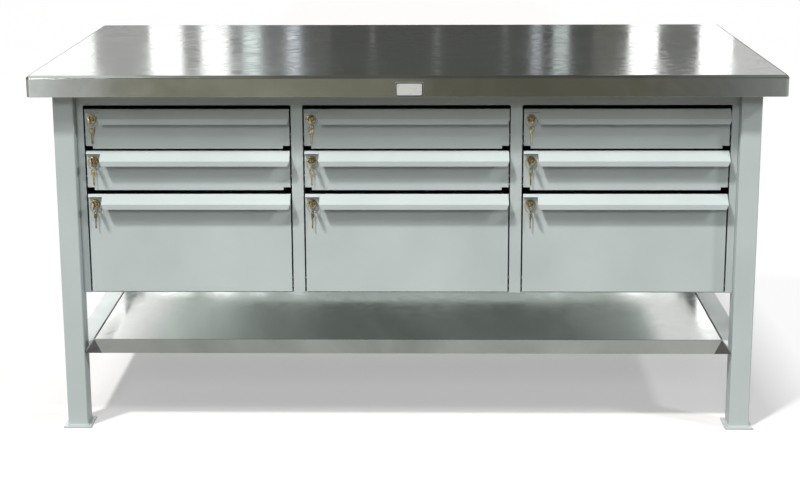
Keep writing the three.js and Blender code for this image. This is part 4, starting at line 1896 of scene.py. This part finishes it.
    def card(self, card: Card) -> None:
        """Adds a card that only reflections show.

        Args:
            card: The card.
        """
        shader = Shader(card.name)
        axes = shader.node("ShaderNodeSeparateXYZ", {"Vector": shader.place})
        graded = shader.node("ShaderNodeValToRGB", {"Fac": shader.ramp(axes.outputs["X"], card.span)})
        stops = graded.color_ramp.elements
        while len(stops) < len(card.tones):
            stops.new(1.0)
        for stop, (position, color) in zip(stops, card.tones):
            stop.position = position
            stop.color = color
        light = shader.node("ShaderNodeEmission", {"Color": graded.outputs["Color"]})
        shader.show(light.outputs["Emission"])
        made = self.sheet(card.name, card.corners, shader.material)
        made.visible_camera = False
        made.visible_diffuse = False
        made.visible_shadow = False
        made.visible_transmission = False

    def sheet(self, name: str, corners: Sequence[Place], material: Material) -> bpy.types.Object:
        """Adds a flat piece of the stage.

        Args:
            name: The piece's name.
            corners: Its four corners.
            material: Its finish.

        Returns:
            The object.
        """
        data = bpy.data.meshes.new(name)
        data.from_pydata(corners, [], [(0, 1, 2, 3)])
        data.materials.append(material)
        made = bpy.data.objects.new(name, data)
        bpy.context.scene.collection.objects.link(made)
        return made

    def sun(self, sun: Sun) -> None:
        """Adds a far light that leaves no bright spot in reflections.

        Args:
            sun: The light.
        """
        data = bpy.data.lights.new(sun.name, "SUN")
        data.energy = sun.strength
        data.color = sun.tint
        data.angle = math.radians(sun.spread)
        made = self.hang(sun.name, data, Vector(sun.travel))
        made.visible_glossy = False

    def aimed(self, box: SoftBox) -> bpy.types.Object:
        """Adds a soft box that faces what it is aimed at."""
        place = Vector(box.place)
        return self.area(box.name, place, Vector(box.aim) - place, box.size, box.radiance, WHITE)

    def panel(self, name: str, panel: Panel, y: float, reach: Point) -> None:
        """Adds an upright panel that faces the front.

        Args:
            name: The panel's name.
            panel: The panel.
            y: Where it stands.
            reach: Its lower and upper edge.
        """
        left, right = panel.span
        low, high = reach
        middle = Vector(((left + right) / 2, y, (low + high) / 2))
        size = (right - left, high - low)
        self.area(name, middle, Vector((0.0, -1.0, 0.0)), size, panel.radiance, panel.tint)

    def area(
        self,
        name: str,
        place: Vector,
        aim: Vector,
        size: Point,
        radiance: float,
        tint: Tint,
    ) -> bpy.types.Object:
        """Adds a lit rectangle that the camera itself does not see.

        Args:
            name: The light's name.
            place: Its middle.
            aim: The direction that it faces.
            size: Its width and its height.
            radiance: Its brightness.
            tint: Its colour.

        Returns:
            The light.
        """
        data = bpy.data.lights.new(name, "AREA")
        data.shape = "RECTANGLE"
        data.size, data.size_y = size
        data.energy = radiance * math.pi * size[0] * size[1]
        data.color = tint
        made = self.hang(name, data, aim)
        made.location = place
        made.visible_camera = False
        return made

    @staticmethod
    def hang(name: str, data: bpy.types.Light, aim: Vector) -> bpy.types.Object:
        """Hangs a light in the scene.

        Args:
            name: The light's name.
            data: The light.
            aim: The direction that it shines in.

        Returns:
            The light's object.
        """
        made = bpy.data.objects.new(name, data)
        made.rotation_mode = "QUATERNION"
        made.rotation_quaternion = aim.to_track_quat("-Z", "Y")
        bpy.context.scene.collection.objects.link(made)
        return made


# Running


def lock_axes(frame: Dict[str, object]) -> Dict[str, Vector]:
    """Reads each lock's axis from the joints of the keys.


    Returns:
        A point on each axis, on the drawer's face, by the drawer's place.
    """
    axes: Dict[str, Vector] = {}
    for joint in frame["joints"]:
        child = joint["child"]
        if joint["type"] == "hinge" and child.startswith("key_"):
            axes[child[len("key_"):]] = Vector(joint["pos_m"])
    return axes


def main() -> None:
    """Builds the studio and the dressed bench."""
    logging.basicConfig(level=logging.INFO, format="%(name)s: %(message)s")
    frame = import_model()
    bpy.context.scene.view_settings.view_transform = "Standard"
    PhotoCamera().build()
    Studio().build()
    finishes = Finishes()
    beads = BeadTree("Bead row", ["Pitch", "Radius"])
    wires = WireTree("Wire", ["Radius"])
    nodes = frame["nodes"]
    Top(finishes).build(nodes)
    Stand(finishes).build(nodes, beads)
    axes = lock_axes(frame)
    for bank in Bank:
        for row in Row:
            Drawer(finishes, bank, row, axes[f"{bank.value}_{row.value}"]).build(beads, wires)


if __name__ == "__main__":
    main()
